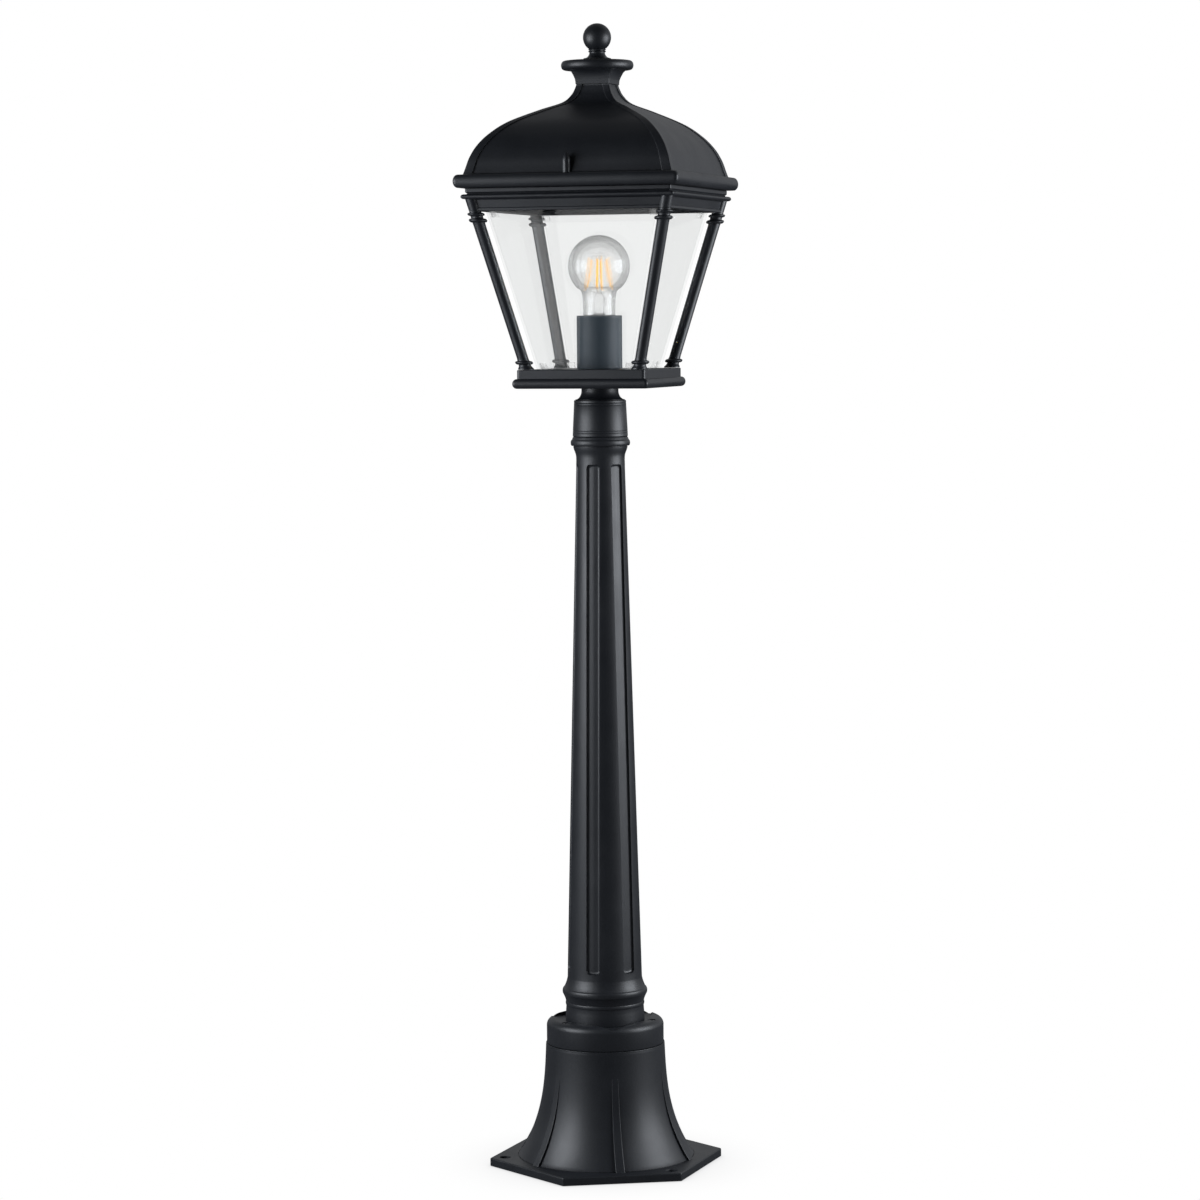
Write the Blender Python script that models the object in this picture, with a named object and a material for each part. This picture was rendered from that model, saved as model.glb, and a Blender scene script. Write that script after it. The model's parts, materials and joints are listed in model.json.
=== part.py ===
"""Garden pillar lantern: bell base, fluted tapering post, square glazed lantern and domed lift-off roof.

Metres, +Z up, standing on z = 0 about the vertical axis x = y = 0. The lantern's front faces -Y; the base
and post are turned about the axis by BASE_YAW. Everything stacks upwards from the base plate, so each level
is worked out from the one below it.
"""

import math

import bmesh
import bpy
from mathutils import Matrix, Vector

MM = 0.001
GAP = 0.3 * MM
ROOT2 = math.sqrt(2)
BASE_YAW = math.radians(25.8)

# Base plate and bell
PLATE_FLATS = 200 * MM
PLATE_HEIGHT = 8 * MM
PLATE_EDGE_BREAK = 1.2 * MM
ANCHOR_HOLE_RADIUS = 5 * MM
ANCHOR_HOLE_INSET = 15 * MM
BELL_FOOT_RADIUS = 86 * MM
BELL_HEIGHT = 111.4 * MM
BELL_WALL = 4 * MM
BELL_WEB = 5 * MM
BELL_LINING_LEVELS = (60 * MM, 34 * MM, 14 * MM)
BELL_SKIN_SHARES = (0, 0.08, 0.18, 0.3, 0.44, 0.6)
BELL_DRAFT_SHARE = 0.16
RIB_TOP = 86 * MM
RIB_PROUD = 3 * MM
RIB_TOP_WIDTH = 6.5 * MM
RIB_FOOT_WIDTH = 9 * MM

# Cap ring on the bell
CAP_RADIUS = 57.4 * MM
BELL_TOP_RADIUS = CAP_RADIUS + 0.9 * MM
CAP_HEIGHT = 24 * MM
CAP_SHOULDER = 7 * MM
CAP_WALL = 4 * MM
CAP_TOP_WALL = 6 * MM
CAP_RECESS_DEPTH = 3.5 * MM
CAP_RECESS_RADIUS = CAP_RADIUS - 13.9 * MM
CAP_LOBE_REACH = 13.5 * MM
CAP_LOBE_SPREAD = 38
CAP_LOBE_POWER = 1.25
CAP_LOBE_STEPS = (-48, -36, -24, -13, -5, 5, 13, 24, 36, 48)
CAP_SCREW_RADIUS = 2.5 * MM
CAP_SCREW_HEAD_RADIUS = 3.7 * MM
CAP_SCREW_HEAD_HEIGHT = 4 * MM
CAP_SCREW_CIRCLE = CAP_RADIUS - 8.9 * MM

# Post
POST_HEIGHT = 573.4 * MM
SHAFT_FOOT_RADIUS = CAP_RADIUS - 20.9 * MM
SHAFT_TOP_RADIUS = 23.6 * MM
POST_WALL = 5 * MM
FOOT_MOULDING = 44 * MM
TOP_MOULDING = 22 * MM
FOOT_MOULDING_LEVELS = (
    (0, 2 * MM),
    (13.5 * MM, 1.4 * MM),
    (19.4 * MM, 1.7 * MM),
    (22.5 * MM, 2.7 * MM),
    (25.5 * MM, 3.7 * MM),
    (29 * MM, 5 * MM),
    (32 * MM, 4.5 * MM),
    (35 * MM, 2.6 * MM),
    (38 * MM, 1.2 * MM),
    (41 * MM, 0.3 * MM),
)
TOP_MOULDING_LEVELS = (
    (22 * MM, 0),
    (18 * MM, 0.3 * MM),
    (15 * MM, 1.1 * MM),
    (12 * MM, 2.2 * MM),
    (9.3 * MM, 3 * MM),
    (8.6 * MM, 4.4 * MM),
    (5.8 * MM, 5.3 * MM),
    (2.6 * MM, 4.6 * MM),
    (0, 3.2 * MM),
)
FLUTE_COUNT = 6
FLUTE_WIDTH = 13.8 * MM
FLUTE_TURN = math.radians(2.5)
FLUTE_DEPTH = 2.4 * MM
FLUTE_FOOT_CLEAR = 6.5 * MM
FLUTE_TOP_CLEAR = 4.5 * MM
FLUTE_END = 4 * MM

# Collar and neck under the lantern
COLLAR_HEIGHT = 35 * MM
COLLAR_FOOT_RADIUS = 26.9 * MM
COLLAR_TOP_RADIUS = 25.2 * MM
COLLAR_WALL = 3.5 * MM
COLLAR_EDGE = 0.8 * MM
NECK_HEIGHT = 11.7 * MM
NECK_FOOT_RADIUS = 24.2 * MM
NECK_TOP_RADIUS = 18 * MM
NECK_WALL = 4 * MM
NECK_FLARE_SHARE = 0.7

# Hollow threaded tube that clamps the whole stack, its nuts and the lead inside it
TUBE_RADIUS = 5 * MM
TUBE_BORE = 3.6 * MM
TUBE_CLEARANCE = 0.5 * MM
TUBE_BELOW_WEB = 12 * MM
NUT_RADIUS = 9.2 * MM
NUT_HEIGHT = 5 * MM
WASHER_RADIUS = 12 * MM
WASHER_HEIGHT = 1.5 * MM
LEAD_RADIUS = 3.1 * MM
LEAD_BELOW_TUBE = 6 * MM
TUBE_BELOW_CORE = 1.5 * MM

# Corner posts, leaning out from the tray to the top frame
LANTERN_HEIGHT = 151.6 * MM
CORNER_FOOT_HALF = 56.4 * MM
CORNER_TOP_HALF = 94.0 * MM
CORNER_RADIUS = 5.8 * MM
CORNER_FOOT_RADIUS = 7.6 * MM
CORNER_FOOT_HEIGHT = 3.2 * MM
CORNER_RING_RADIUS = 8.3 * MM
CORNER_RING_LEVEL = 6.6 * MM
CORNER_RING_HEIGHT = 3.2 * MM
CORNER_RING_PITCH = 6.2 * MM
CORNER_SIDES = 10
CORNERS = (("front_left", -1, -1), ("front_right", 1, -1), ("back_left", -1, 1), ("back_right", 1, 1))

# Lantern tray
TRAY_BOX_HALF = CORNER_FOOT_HALF + 7.7 * MM
TRAY_BOX_HEIGHT = 8.6 * MM
TRAY_RIM_HALF = TRAY_BOX_HALF + 3.8 * MM
TRAY_RIM_HEIGHT = 9.4 * MM
TRAY_RIM_ROUND = 0.75
TRAY_WALL = 4 * MM
TRAY_BOSS_RADIUS = 21 * MM

# Glass
GLASS_SET_BACK = 7 * MM
GLASS_THICKNESS = 3.5 * MM
GLASS_ABOVE_FRAME_FOOT = 5.5 * MM
CLIP_LEG = 7 * MM
CLIP_THICKNESS = 0.8 * MM
CLIP_HEIGHT = 6 * MM

# Top frame, the moulded cornice that the roof sits on
FRAME_HEIGHT = 21.3 * MM
FRAME_INNER_HALF = CORNER_TOP_HALF - 4 * MM
FRAME_FOOT_HALF = CORNER_TOP_HALF + 3.6 * MM
FRAME_GROOVE_HALF = CORNER_TOP_HALF + 6.2 * MM
FRAME_TOP_HALF = CORNER_TOP_HALF + 7.8 * MM
FRAME_BEAD_HALF = CORNER_TOP_HALF + 11.2 * MM
FRAME_BEAD_RADIUS = 2.2 * MM
FRAME_BEAD_LEVEL = 13.4 * MM
FRAME_FOOT_BAND = 2.4 * MM
FRAME_FRIEZE_LEAN = 1.2 * MM
FRAME_TOP_BAND = 3.5 * MM
FRAME_STUB_HEIGHT = 12 * MM
LUG_LENGTH = 14 * MM
LUG_WIDTH = 26 * MM
LUG_HEIGHT = 4 * MM
LUG_LEVEL = 6.7 * MM
BRIDGE_WIDTH = 18 * MM
BRIDGE_HEIGHT = 3 * MM
BRIDGE_SCREW_RADIUS = 1.9 * MM
BRIDGE_SCREW_HEAD_RADIUS = 3.8 * MM
BRIDGE_SCREW_HEAD_HEIGHT = 2.5 * MM

# Roof
SLAB_HALF = CORNER_TOP_HALF + 17.2 * MM
SLAB_HEIGHT = 12.7 * MM
SLAB_ROUND = 0.6
SLAB_LIP_HALF = CORNER_TOP_HALF - 6 * MM
SLAB_LIP_HEIGHT = 5 * MM
GASKET_HALF = CORNER_TOP_HALF + 0.5 * MM
GASKET_WIDTH = 4.4 * MM
GASKET_HEIGHT = 1.8 * MM
DOME_FOOT_HALF = CORNER_TOP_HALF + 9 * MM
DOME_HEIGHT = 87.6 * MM
DOME_NECK_HALF = 16.7 * MM
DOME_WALL = 3 * MM
HIP_BAND_FOOT = 9 * MM
HIP_BAND_NECK = 6 * MM
PANEL_RECESS = 1.3 * MM
DOME_SHARES = (
    (0, 0),
    (0.022, 0.07),
    (0.058, 0.187),
    (0.125, 0.319),
    (0.235, 0.451),
    (0.402, 0.582),
    (0.672, 0.713),
    (0.878, 0.801),
    (0.96, 0.888),
    (0.997, 0.976),
    (1, 1),
)
BOSS_RADIUS = 4 * MM
BOSS_SINK = 1.2 * MM
BOSS_SHARES = ((0.35, 0.96), (0.62, 0.87), (0.85, 0.72), (1, 0.5))
BOSS_HEIGHT = 20 * MM

# Cap on the roof and finial
CAP_NECK_HEIGHT = 13.8 * MM
CAP_DISC_RADIUS = 35 * MM
CAP_DISC_HEIGHT = 9 * MM
CAP_DISC_ROUND = 0.7
CAP_UNDER_SHARE = 0.78
CAP_SPIGOT_LENGTH = 8 * MM
CAP_NECK_FLARE = (
    (0, 0, 0),
    (3.5 * MM, 0.3 * MM, 0),
    (7.5 * MM, 1.1 * MM, 0),
    (9.5 * MM, 1.9 * MM, 0.05),
    (11.5 * MM, 3.2 * MM, 0.2),
    (12.9 * MM, 5.4 * MM, 0.5),
)
FINIAL_FOOT_RADIUS = 13.4 * MM
FINIAL_NECK_RADIUS = 7.6 * MM
FINIAL_NECK_HEIGHT = 10.4 * MM
FINIAL_BALL_RADIUS = 13.6 * MM
FINIAL_FLARE_TOP = 6.5 * MM
FINIAL_FLARE_HEIGHT = 5.6 * MM
FINIAL_RING_LEVELS = (7.4 * MM, 9.2 * MM)
FINIAL_RING_PROUD = 0.9 * MM
FINIAL_SEAL_HEIGHT = 1 * MM
ROD_RADIUS = 3 * MM
ROD_CLEARANCE = 0.4 * MM
ROD_NUT_RADIUS = 5.6 * MM
ROD_NUT_HEIGHT = 3.2 * MM
ROD_BELOW_NUT = 1.2 * MM
INSERT_RADIUS = 5 * MM
INSERT_LENGTH = 12 * MM
INSERT_LEVEL = 0.5 * MM

# Lampholder
SLEEVE_RADIUS = 22 * MM
SLEEVE_WALL = 1.5 * MM
SLEEVE_HEIGHT = 51.4 * MM
CORE_RADIUS = SLEEVE_RADIUS - SLEEVE_WALL - 2 * MM
CORE_LEVEL = 11 * MM
CORE_HEIGHT = 36 * MM
CORE_FLOOR = 8 * MM
SHELL_WALL = 0.6 * MM
CONTACT_RADIUS = 4 * MM

# Lamp
LAMP_CAP_RADIUS = 13.2 * MM
SHELL_RADIUS = LAMP_CAP_RADIUS + 1.2 * MM
LAMP_CAP_HEIGHT = 22 * MM
LAMP_CAP_WALL = 0.6 * MM
LAMP_LEVEL = 24 * MM
LAMP_TIP_HEIGHT = 3 * MM
BULB_RADIUS = 30 * MM
BULB_NECK_RADIUS = 15.6 * MM
BULB_CENTRE_ABOVE_CAP = 50 * MM
BULB_WALL = 0.9 * MM
STEM_RADIUS = 5.3 * MM
STEM_HEIGHT = 17 * MM
STEM_ROD_RADIUS = 1.2 * MM
FILAMENT_RADIUS = 1.0 * MM
FILAMENT_TOP_CIRCLE = 6.9 * MM
FILAMENT_FOOT_CIRCLE = 11.6 * MM
FILAMENT_LENGTH = 32 * MM
FILAMENT_ABOVE_CAP = 27 * MM
FILAMENT_YAW = math.radians(5.6)
ARM_THICKNESS = 0.8 * MM

# Wiring inside the bell
TERMINAL_LENGTH = 30 * MM
TERMINAL_DEPTH = 14 * MM
TERMINAL_HEIGHT = 12 * MM
TERMINAL_OFFSET = 34 * MM
EARTH_SCREW_RADIUS = 2.5 * MM

# Levels, from the ground up
BELL_TOP = PLATE_HEIGHT + BELL_HEIGHT
WEB_UNDER = BELL_TOP - BELL_WEB
CAP_FOOT = BELL_TOP + GAP
CAP_TOP = CAP_FOOT + CAP_HEIGHT
CAP_RECESS = CAP_TOP - CAP_RECESS_DEPTH
POST_FOOT = CAP_RECESS + GAP
POST_TOP = POST_FOOT + POST_HEIGHT
COLLAR_FOOT = POST_TOP + GAP
COLLAR_TOP = COLLAR_FOOT + COLLAR_HEIGHT
NECK_FOOT = COLLAR_TOP + GAP
NECK_TOP = NECK_FOOT + NECK_HEIGHT
TRAY_FOOT = NECK_TOP + GAP
TRAY_TOP = TRAY_FOOT + TRAY_RIM_HEIGHT + TRAY_BOX_HEIGHT
FRAME_FOOT = TRAY_TOP + LANTERN_HEIGHT
FRAME_TOP = FRAME_FOOT + FRAME_HEIGHT
ROOF_FOOT = FRAME_TOP + GAP
SLAB_TOP = ROOF_FOOT + SLAB_HEIGHT
DOME_TOP = SLAB_TOP + DOME_HEIGHT
ROOF_CAP_FOOT = DOME_TOP + GAP
ROOF_CAP_TOP = ROOF_CAP_FOOT + CAP_NECK_HEIGHT + CAP_DISC_HEIGHT
FINIAL_FOOT = ROOF_CAP_TOP + 2 * GAP + FINIAL_SEAL_HEIGHT
BRIDGE_FOOT = FRAME_FOOT + LUG_LEVEL + LUG_HEIGHT + GAP
BRIDGE_TOP = BRIDGE_FOOT + BRIDGE_HEIGHT
SLEEVE_FOOT = TRAY_TOP + GAP
CORE_FOOT = SLEEVE_FOOT + CORE_LEVEL
LAMP_TIP = SLEEVE_FOOT + LAMP_LEVEL
LAMP_CAP_FOOT = LAMP_TIP + LAMP_TIP_HEIGHT
LAMP_CAP_TOP = LAMP_CAP_FOOT + LAMP_CAP_HEIGHT
BULB_CENTRE = LAMP_CAP_TOP + BULB_CENTRE_ABOVE_CAP
FILAMENT_FOOT = LAMP_CAP_TOP + FILAMENT_ABOVE_CAP
FILAMENT_TOP = FILAMENT_FOOT + FILAMENT_LENGTH


# ---------------------------------------------------------------- helpers


def material(name, colour, roughness, metallic=0.0, transmission=0.0):
    made = bpy.data.materials.new(name)
    made.use_nodes = True
    shader = made.node_tree.nodes["Principled BSDF"]
    shader.inputs["Base Color"].default_value = (*colour, 1)
    shader.inputs["Roughness"].default_value = roughness
    shader.inputs["Metallic"].default_value = metallic
    shader.inputs["Transmission Weight"].default_value = transmission
    made.diffuse_color = (*colour, 1)
    return made


def add(name, shape, finish, parent=None, smooth=True):
    """Makes an object of a finished bmesh: faces pointing out, edges over 35 degrees sharp."""
    bmesh.ops.remove_doubles(shape, verts=shape.verts, dist=0.00001)
    bmesh.ops.recalc_face_normals(shape, faces=shape.faces)
    mesh = bpy.data.meshes.new(name)
    shape.to_mesh(mesh)
    shape.free()
    if smooth:
        mesh.shade_smooth()
        mesh.set_sharp_from_angle(angle=math.radians(35))
    made = bpy.data.objects.new(name, mesh)
    bpy.context.scene.collection.objects.link(made)
    mesh.materials.append(finish)
    made.parent = parent
    if parent:
        made.matrix_parent_inverse = parent.matrix_world.inverted()
    return made


def pivot(name, height, parent=None):
    """An empty on the lantern's vertical axis, which is the axis that every moving piece moves on."""
    made = bpy.data.objects.new(name, None)
    made.location = (0, 0, height)
    bpy.context.scene.collection.objects.link(made)
    bpy.context.view_layer.update()
    if parent:
        made.parent = parent
        made.matrix_parent_inverse = parent.matrix_world.inverted()
        bpy.context.view_layer.update()
    return made


def lathe(profile, steps, turn=0.0):
    """Turns a closed outline of (radius, height) points about the vertical axis, joined where it meets it."""
    shape = bmesh.new()
    start = Matrix.Rotation(turn, 3, "Z")
    corners = [shape.verts.new(start @ Vector((max(radius, 0), 0, height))) for radius, height in profile]
    edges = []
    for first, second in zip(corners, corners[1:] + corners[:1]):
        if first.co.xy.length > 1e-7 or second.co.xy.length > 1e-7:
            edges.append(shape.edges.new((first, second)))
    bmesh.ops.spin(
        shape,
        geom=corners + edges,
        cent=(0, 0, 0),
        axis=(0, 0, 1),
        angle=math.tau,
        steps=steps,
        use_merge=True,
    )
    return shape


def square_lathe(profile):
    """A four-sided turning: the outline's radii are half the side of the square at that height."""
    return lathe([(half * ROOT2, height) for half, height in profile], 4, math.radians(45))


def loft(rings, closed=False):
    """Joins rings of points in turn. The ends are closed flat, or the last ring is joined to the first."""
    shape = bmesh.new()
    loops = [[shape.verts.new(point) for point in ring] for ring in rings]
    pairs = list(zip(loops, loops[1:]))
    if closed:
        pairs.append((loops[-1], loops[0]))
    for lower, upper in pairs:
        for i, corner in enumerate(lower):
            j = (i + 1) % len(lower)
            shape.faces.new((corner, lower[j], upper[j], upper[i]))
    if not closed:
        shape.faces.new(reversed(loops[0]))
        shape.faces.new(loops[-1])
    return shape


def block(low, high):
    shape = bmesh.new()
    bmesh.ops.create_cube(shape, size=1)
    low, high = Vector(low), Vector(high)
    size = high - low
    for vertex in shape.verts:
        vertex.co = (low + high) / 2 + Vector(a * b for a, b in zip(vertex.co, size))
    return shape


def prism(sides, radius, low, high, turn=0.0, at=(0, 0)):
    """An upright prism on a regular outline, given its corner radius."""
    points = []
    for i in range(sides):
        angle = turn + math.tau * i / sides
        points.append((at[0] + radius * math.cos(angle), at[1] + radius * math.sin(angle)))
    return loft([[(x, y, low) for x, y in points], [(x, y, high) for x, y in points]])


def rod(radius, low, high, sides=12, at=(0, 0)):
    return prism(sides, radius, low, high, at=at)


def hex_nut(radius, hole, low, high):
    """A six-sided nut whose six-sided hole clears a round of the given radius."""
    inner = hole / math.cos(math.radians(30))
    return lathe([(inner, low), (radius, low), (radius, high), (inner, high)], 6)


def boolean(target, other, operation):
    modifier = target.modifiers.new(operation.lower(), "BOOLEAN")
    modifier.object = other
    modifier.operation = operation
    modifier.solver = "EXACT"


def cut(target, name, shape):
    """Takes a shape out of an object. The cutter stays as a wire guide."""
    cutter = add(name, shape, target.data.materials[0], smooth=False)
    cutter.hide_render = True
    cutter.display_type = "WIRE"
    boolean(target, cutter, "DIFFERENCE")


def fuse(target, name, shape):
    """Joins a shape to an object. The shape that was joined stays as a wire guide."""
    joined = add(name, shape, target.data.materials[0], smooth=False)
    joined.hide_render = True
    joined.display_type = "WIRE"
    boolean(target, joined, "UNION")


def smooth_curve(points, steps):
    """Points on a curve through the given ones, with the given number of steps between each two."""
    ends = [points[0], *points, points[-1]]
    curve = []
    for before, start, end, after in zip(ends, ends[1:], ends[2:], ends[3:]):
        for step in range(steps):
            t = step / steps
            weights = (
                (-t + 2 * t**2 - t**3) / 2,
                (2 - 5 * t**2 + 3 * t**3) / 2,
                (t + 4 * t**2 - 3 * t**3) / 2,
                (-(t**2) + t**3) / 2,
            )
            near = zip(*(before, start, end, after))
            curve.append(tuple(sum(w * value for w, value in zip(weights, axis)) for axis in near))
    return [*curve, tuple(points[-1])]


def inset_profile(profile, distance):
    """The same outline, moved inwards by the wall's thickness, square to itself."""
    moved = []
    for i, (radius, height) in enumerate(profile):
        before = profile[max(i - 1, 0)]
        after = profile[min(i + 1, len(profile) - 1)]
        along = Vector((after[0] - before[0], after[1] - before[1])).normalized()
        moved.append((radius - along.y * distance, height + along.x * distance))
    return moved


def arc(centre, radius_x, radius_z, start, end, steps):
    """Points on part of an ellipse in the profile's plane, its angles in degrees from +X."""
    points = []
    for i in range(steps + 1):
        angle = math.radians(start + (end - start) * i / steps)
        points.append((centre[0] + radius_x * math.cos(angle), centre[1] + radius_z * math.sin(angle)))
    return points


def around(azimuth, radius):
    """The point at a radius, its azimuth turned from the front, -Y, towards +X."""
    return radius * math.sin(azimuth), -radius * math.cos(azimuth)


# ---------------------------------------------------------------- base


def bell_radius(height):
    """Outer radius of the bell above its plate: a light draft, and a flare with the cube of depth."""
    depth = 1 - height / BELL_HEIGHT
    flare = BELL_DRAFT_SHARE * depth + (1 - BELL_DRAFT_SHARE) * depth**3
    return BELL_TOP_RADIUS + (BELL_FOOT_RADIUS - BELL_TOP_RADIUS) * flare


def sector_angles(radius, width):
    """Azimuths round the bell: four points across each rib, and three on the bell between two ribs."""
    half = math.asin(width / 2 / radius)
    step = math.radians(60)
    angles = []
    for rib in range(6):
        middle = BASE_YAW + rib * step
        angles += [middle - 1.5 * half, middle - half, middle + half, middle + 1.5 * half]
        angles += [middle + step * share for share in (0.3, 0.5, 0.7)]
    return angles


def bell_ring(height, ribbed=True, thinner=0.0):
    """One ring of points on the bell, standing proud where a rib runs down it."""
    radius = bell_radius(height) - thinner
    down = min(max(1 - height / RIB_TOP, 0), 1)
    width = RIB_TOP_WIDTH + (RIB_FOOT_WIDTH - RIB_TOP_WIDTH) * down
    proud = RIB_PROUD * down if ribbed else 0
    ring = []
    for i, angle in enumerate(sector_angles(radius, width)):
        on_rib = i % 7 in (1, 2)
        ring.append((*around(angle, radius + (proud if on_rib else 0)), PLATE_HEIGHT + height))
    return ring


def plate_ring(height, inset=0.0):
    """The bell's angles carried out to the hexagon's edge."""
    ring = []
    apothem = PLATE_FLATS / 2 - inset
    sector = math.radians(60)
    for angle in sector_angles(BELL_FOOT_RADIUS, RIB_FOOT_WIDTH):
        off = (angle - BASE_YAW + sector / 2) % sector - sector / 2
        ring.append((*around(angle, apothem / math.cos(off)), height))
    return ring


def anchor_points():
    circle = PLATE_FLATS / math.sqrt(3) - ANCHOR_HOLE_INSET
    return [around(BASE_YAW + math.radians(30 + 120 * i), circle) for i in range(3)]


def cap_screw_points():
    return [around(BASE_YAW + math.radians(60 + 120 * i), CAP_SCREW_CIRCLE) for i in range(3)]


def recess_ring(height):
    """The cap's round recess, drawn out into three pointed lobes that reach the rim."""
    ring = []
    for lobe in range(3):
        for step in CAP_LOBE_STEPS:
            reach = max(1 - abs(step) / CAP_LOBE_SPREAD, 0) ** CAP_LOBE_POWER
            angle = BASE_YAW + math.radians(120 * lobe + step)
            ring.append((*around(angle, CAP_RECESS_RADIUS + CAP_LOBE_REACH * reach), height))
    return ring


def moved(shape, point):
    """Carries a shape to a point in plan."""
    bmesh.ops.translate(shape, verts=shape.verts, vec=(*point, 0))
    return shape


def make_base(paint):
    inner_levels = (WEB_UNDER - PLATE_HEIGHT, *BELL_LINING_LEVELS)
    rings = [bell_ring(height, False, BELL_WALL) for height in inner_levels]
    foot = bell_ring(0, False, BELL_WALL)
    rings.append([(x, y, 0) for x, y, _ in foot])
    rings.append(plate_ring(0))
    rings.append(plate_ring(PLATE_HEIGHT - PLATE_EDGE_BREAK))
    rings.append(plate_ring(PLATE_HEIGHT, PLATE_EDGE_BREAK))
    rings += [bell_ring(BELL_HEIGHT * share) for share in (*BELL_SKIN_SHARES, RIB_TOP / BELL_HEIGHT, 1)]
    base = add("base_casting", loft(rings), paint)
    cut(base, "tube_hole_cutter", rod(TUBE_RADIUS + TUBE_CLEARANCE, WEB_UNDER - MM, BELL_TOP + MM))
    for i, point in enumerate(anchor_points()):
        cut(base, f"anchor_cutter_{i}", rod(ANCHOR_HOLE_RADIUS, -MM, PLATE_HEIGHT + MM, 14, point))
    for i, point in enumerate(cap_screw_points()):
        hole = rod(CAP_SCREW_RADIUS + GAP, WEB_UNDER - MM, BELL_TOP + MM, 10, point)
        cut(base, f"bell_screw_cutter_{i}", hole)
    earth = around(BASE_YAW + math.radians(180), TERMINAL_OFFSET)
    earth_hole = rod(EARTH_SCREW_RADIUS + GAP, WEB_UNDER - MM, WEB_UNDER + 0.7 * BELL_WEB, 10, earth)
    cut(base, "earth_cutter", earth_hole)


def make_cap(paint, steel):
    side = CAP_RADIUS - CAP_WALL
    centre = (CAP_RADIUS - CAP_SHOULDER, CAP_TOP - CAP_SHOULDER)
    shoulder = arc(centre, CAP_SHOULDER, CAP_SHOULDER, 0, 90, 4)
    hole = TUBE_RADIUS + TUBE_CLEARANCE
    under = CAP_RECESS - CAP_TOP_WALL
    skirt = [(side, under), (side, CAP_FOOT), (CAP_RADIUS, CAP_FOOT)]
    profile = [*skirt, *shoulder, (hole, CAP_TOP), (hole, under)]
    cap = add("base_cap", lathe(profile, 30), paint)
    cut(cap, "recess_cutter", loft([recess_ring(CAP_RECESS), recess_ring(CAP_TOP + MM)]))
    seat = CAP_TOP - MM - CAP_SCREW_HEAD_HEIGHT
    wide = CAP_SCREW_HEAD_RADIUS + GAP
    narrow = CAP_SCREW_RADIUS + GAP
    well = [
        (0, CAP_TOP + MM),
        (wide, CAP_TOP + MM),
        (wide, seat),
        (narrow, seat),
        (narrow, under - MM),
        (0, under - MM),
    ]
    socket = 0.5 * CAP_SCREW_HEAD_RADIUS
    top = seat + GAP + CAP_SCREW_HEAD_HEIGHT
    socket_floor = top - 0.6 * CAP_SCREW_HEAD_HEIGHT
    screw = [
        (0, socket_floor),
        (socket, socket_floor),
        (socket, top),
        (CAP_SCREW_HEAD_RADIUS, top),
        (CAP_SCREW_HEAD_RADIUS, seat + GAP),
        (CAP_SCREW_RADIUS, seat + GAP),
        (CAP_SCREW_RADIUS, WEB_UNDER),
        (0, WEB_UNDER),
    ]
    for i, point in enumerate(cap_screw_points()):
        cut(cap, f"cap_screw_cutter_{i}", moved(lathe(well, 12), point))
        add(f"cap_screw_{i + 1}", moved(lathe(screw, 10), point), steel)


# ---------------------------------------------------------------- post


def shaft_radius(height):
    """Straight taper between the two mouldings."""
    low = POST_FOOT + FOOT_MOULDING
    high = POST_TOP - TOP_MOULDING
    share = min(max((height - low) / (high - low), 0), 1)
    return SHAFT_FOOT_RADIUS + (SHAFT_TOP_RADIUS - SHAFT_FOOT_RADIUS) * share


def post_ring(height, radius, depth):
    """Six flutes of constant width, cut into a round section, with two points on each land."""
    half = math.asin(FLUTE_WIDTH / 2 / radius)
    step = math.tau / FLUTE_COUNT
    ring = []
    for flute in range(FLUTE_COUNT):
        middle = BASE_YAW + FLUTE_TURN + step * (flute + 0.5)
        for share, sunk in ((-1, 0), (-0.55, 0.8), (0, 1), (0.55, 0.8), (1, 0)):
            ring.append((*around(middle + share * half, radius - sunk * depth), height))
        land = step - 2 * half
        ring += [(*around(middle + half + land * share, radius), height) for share in (0.33, 0.67)]
    return ring


def flute_levels():
    """Heights along a flute with the share of its full depth there, rounded out at both ends."""
    foot = POST_FOOT + FOOT_MOULDING + FLUTE_FOOT_CLEAR
    top = POST_TOP - TOP_MOULDING - FLUTE_TOP_CLEAR
    return (
        (foot, 0),
        (foot + 0.15 * FLUTE_END, 0.6),
        (foot + FLUTE_END, 1),
        (top - FLUTE_END, 1),
        (top - 0.15 * FLUTE_END, 0.6),
        (top, 0),
    )


def make_post(paint):
    foot = [(POST_FOOT + rise, SHAFT_FOOT_RADIUS + out, 0) for rise, out in FOOT_MOULDING_LEVELS]
    body = [(height, shaft_radius(height), depth * FLUTE_DEPTH) for height, depth in flute_levels()]
    top = [(POST_TOP - drop, SHAFT_TOP_RADIUS + out, 0) for drop, out in TOP_MOULDING_LEVELS]
    inside = [
        (POST_TOP, SHAFT_TOP_RADIUS),
        (POST_TOP - TOP_MOULDING, SHAFT_TOP_RADIUS),
        (POST_FOOT + FOOT_MOULDING, SHAFT_FOOT_RADIUS),
        (POST_FOOT, SHAFT_FOOT_RADIUS),
    ]
    rings = [post_ring(*level) for level in foot + body + top]
    rings += [post_ring(height, radius - POST_WALL, 0) for height, radius in inside]
    add("post_shaft", loft(rings, closed=True), paint)


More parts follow.
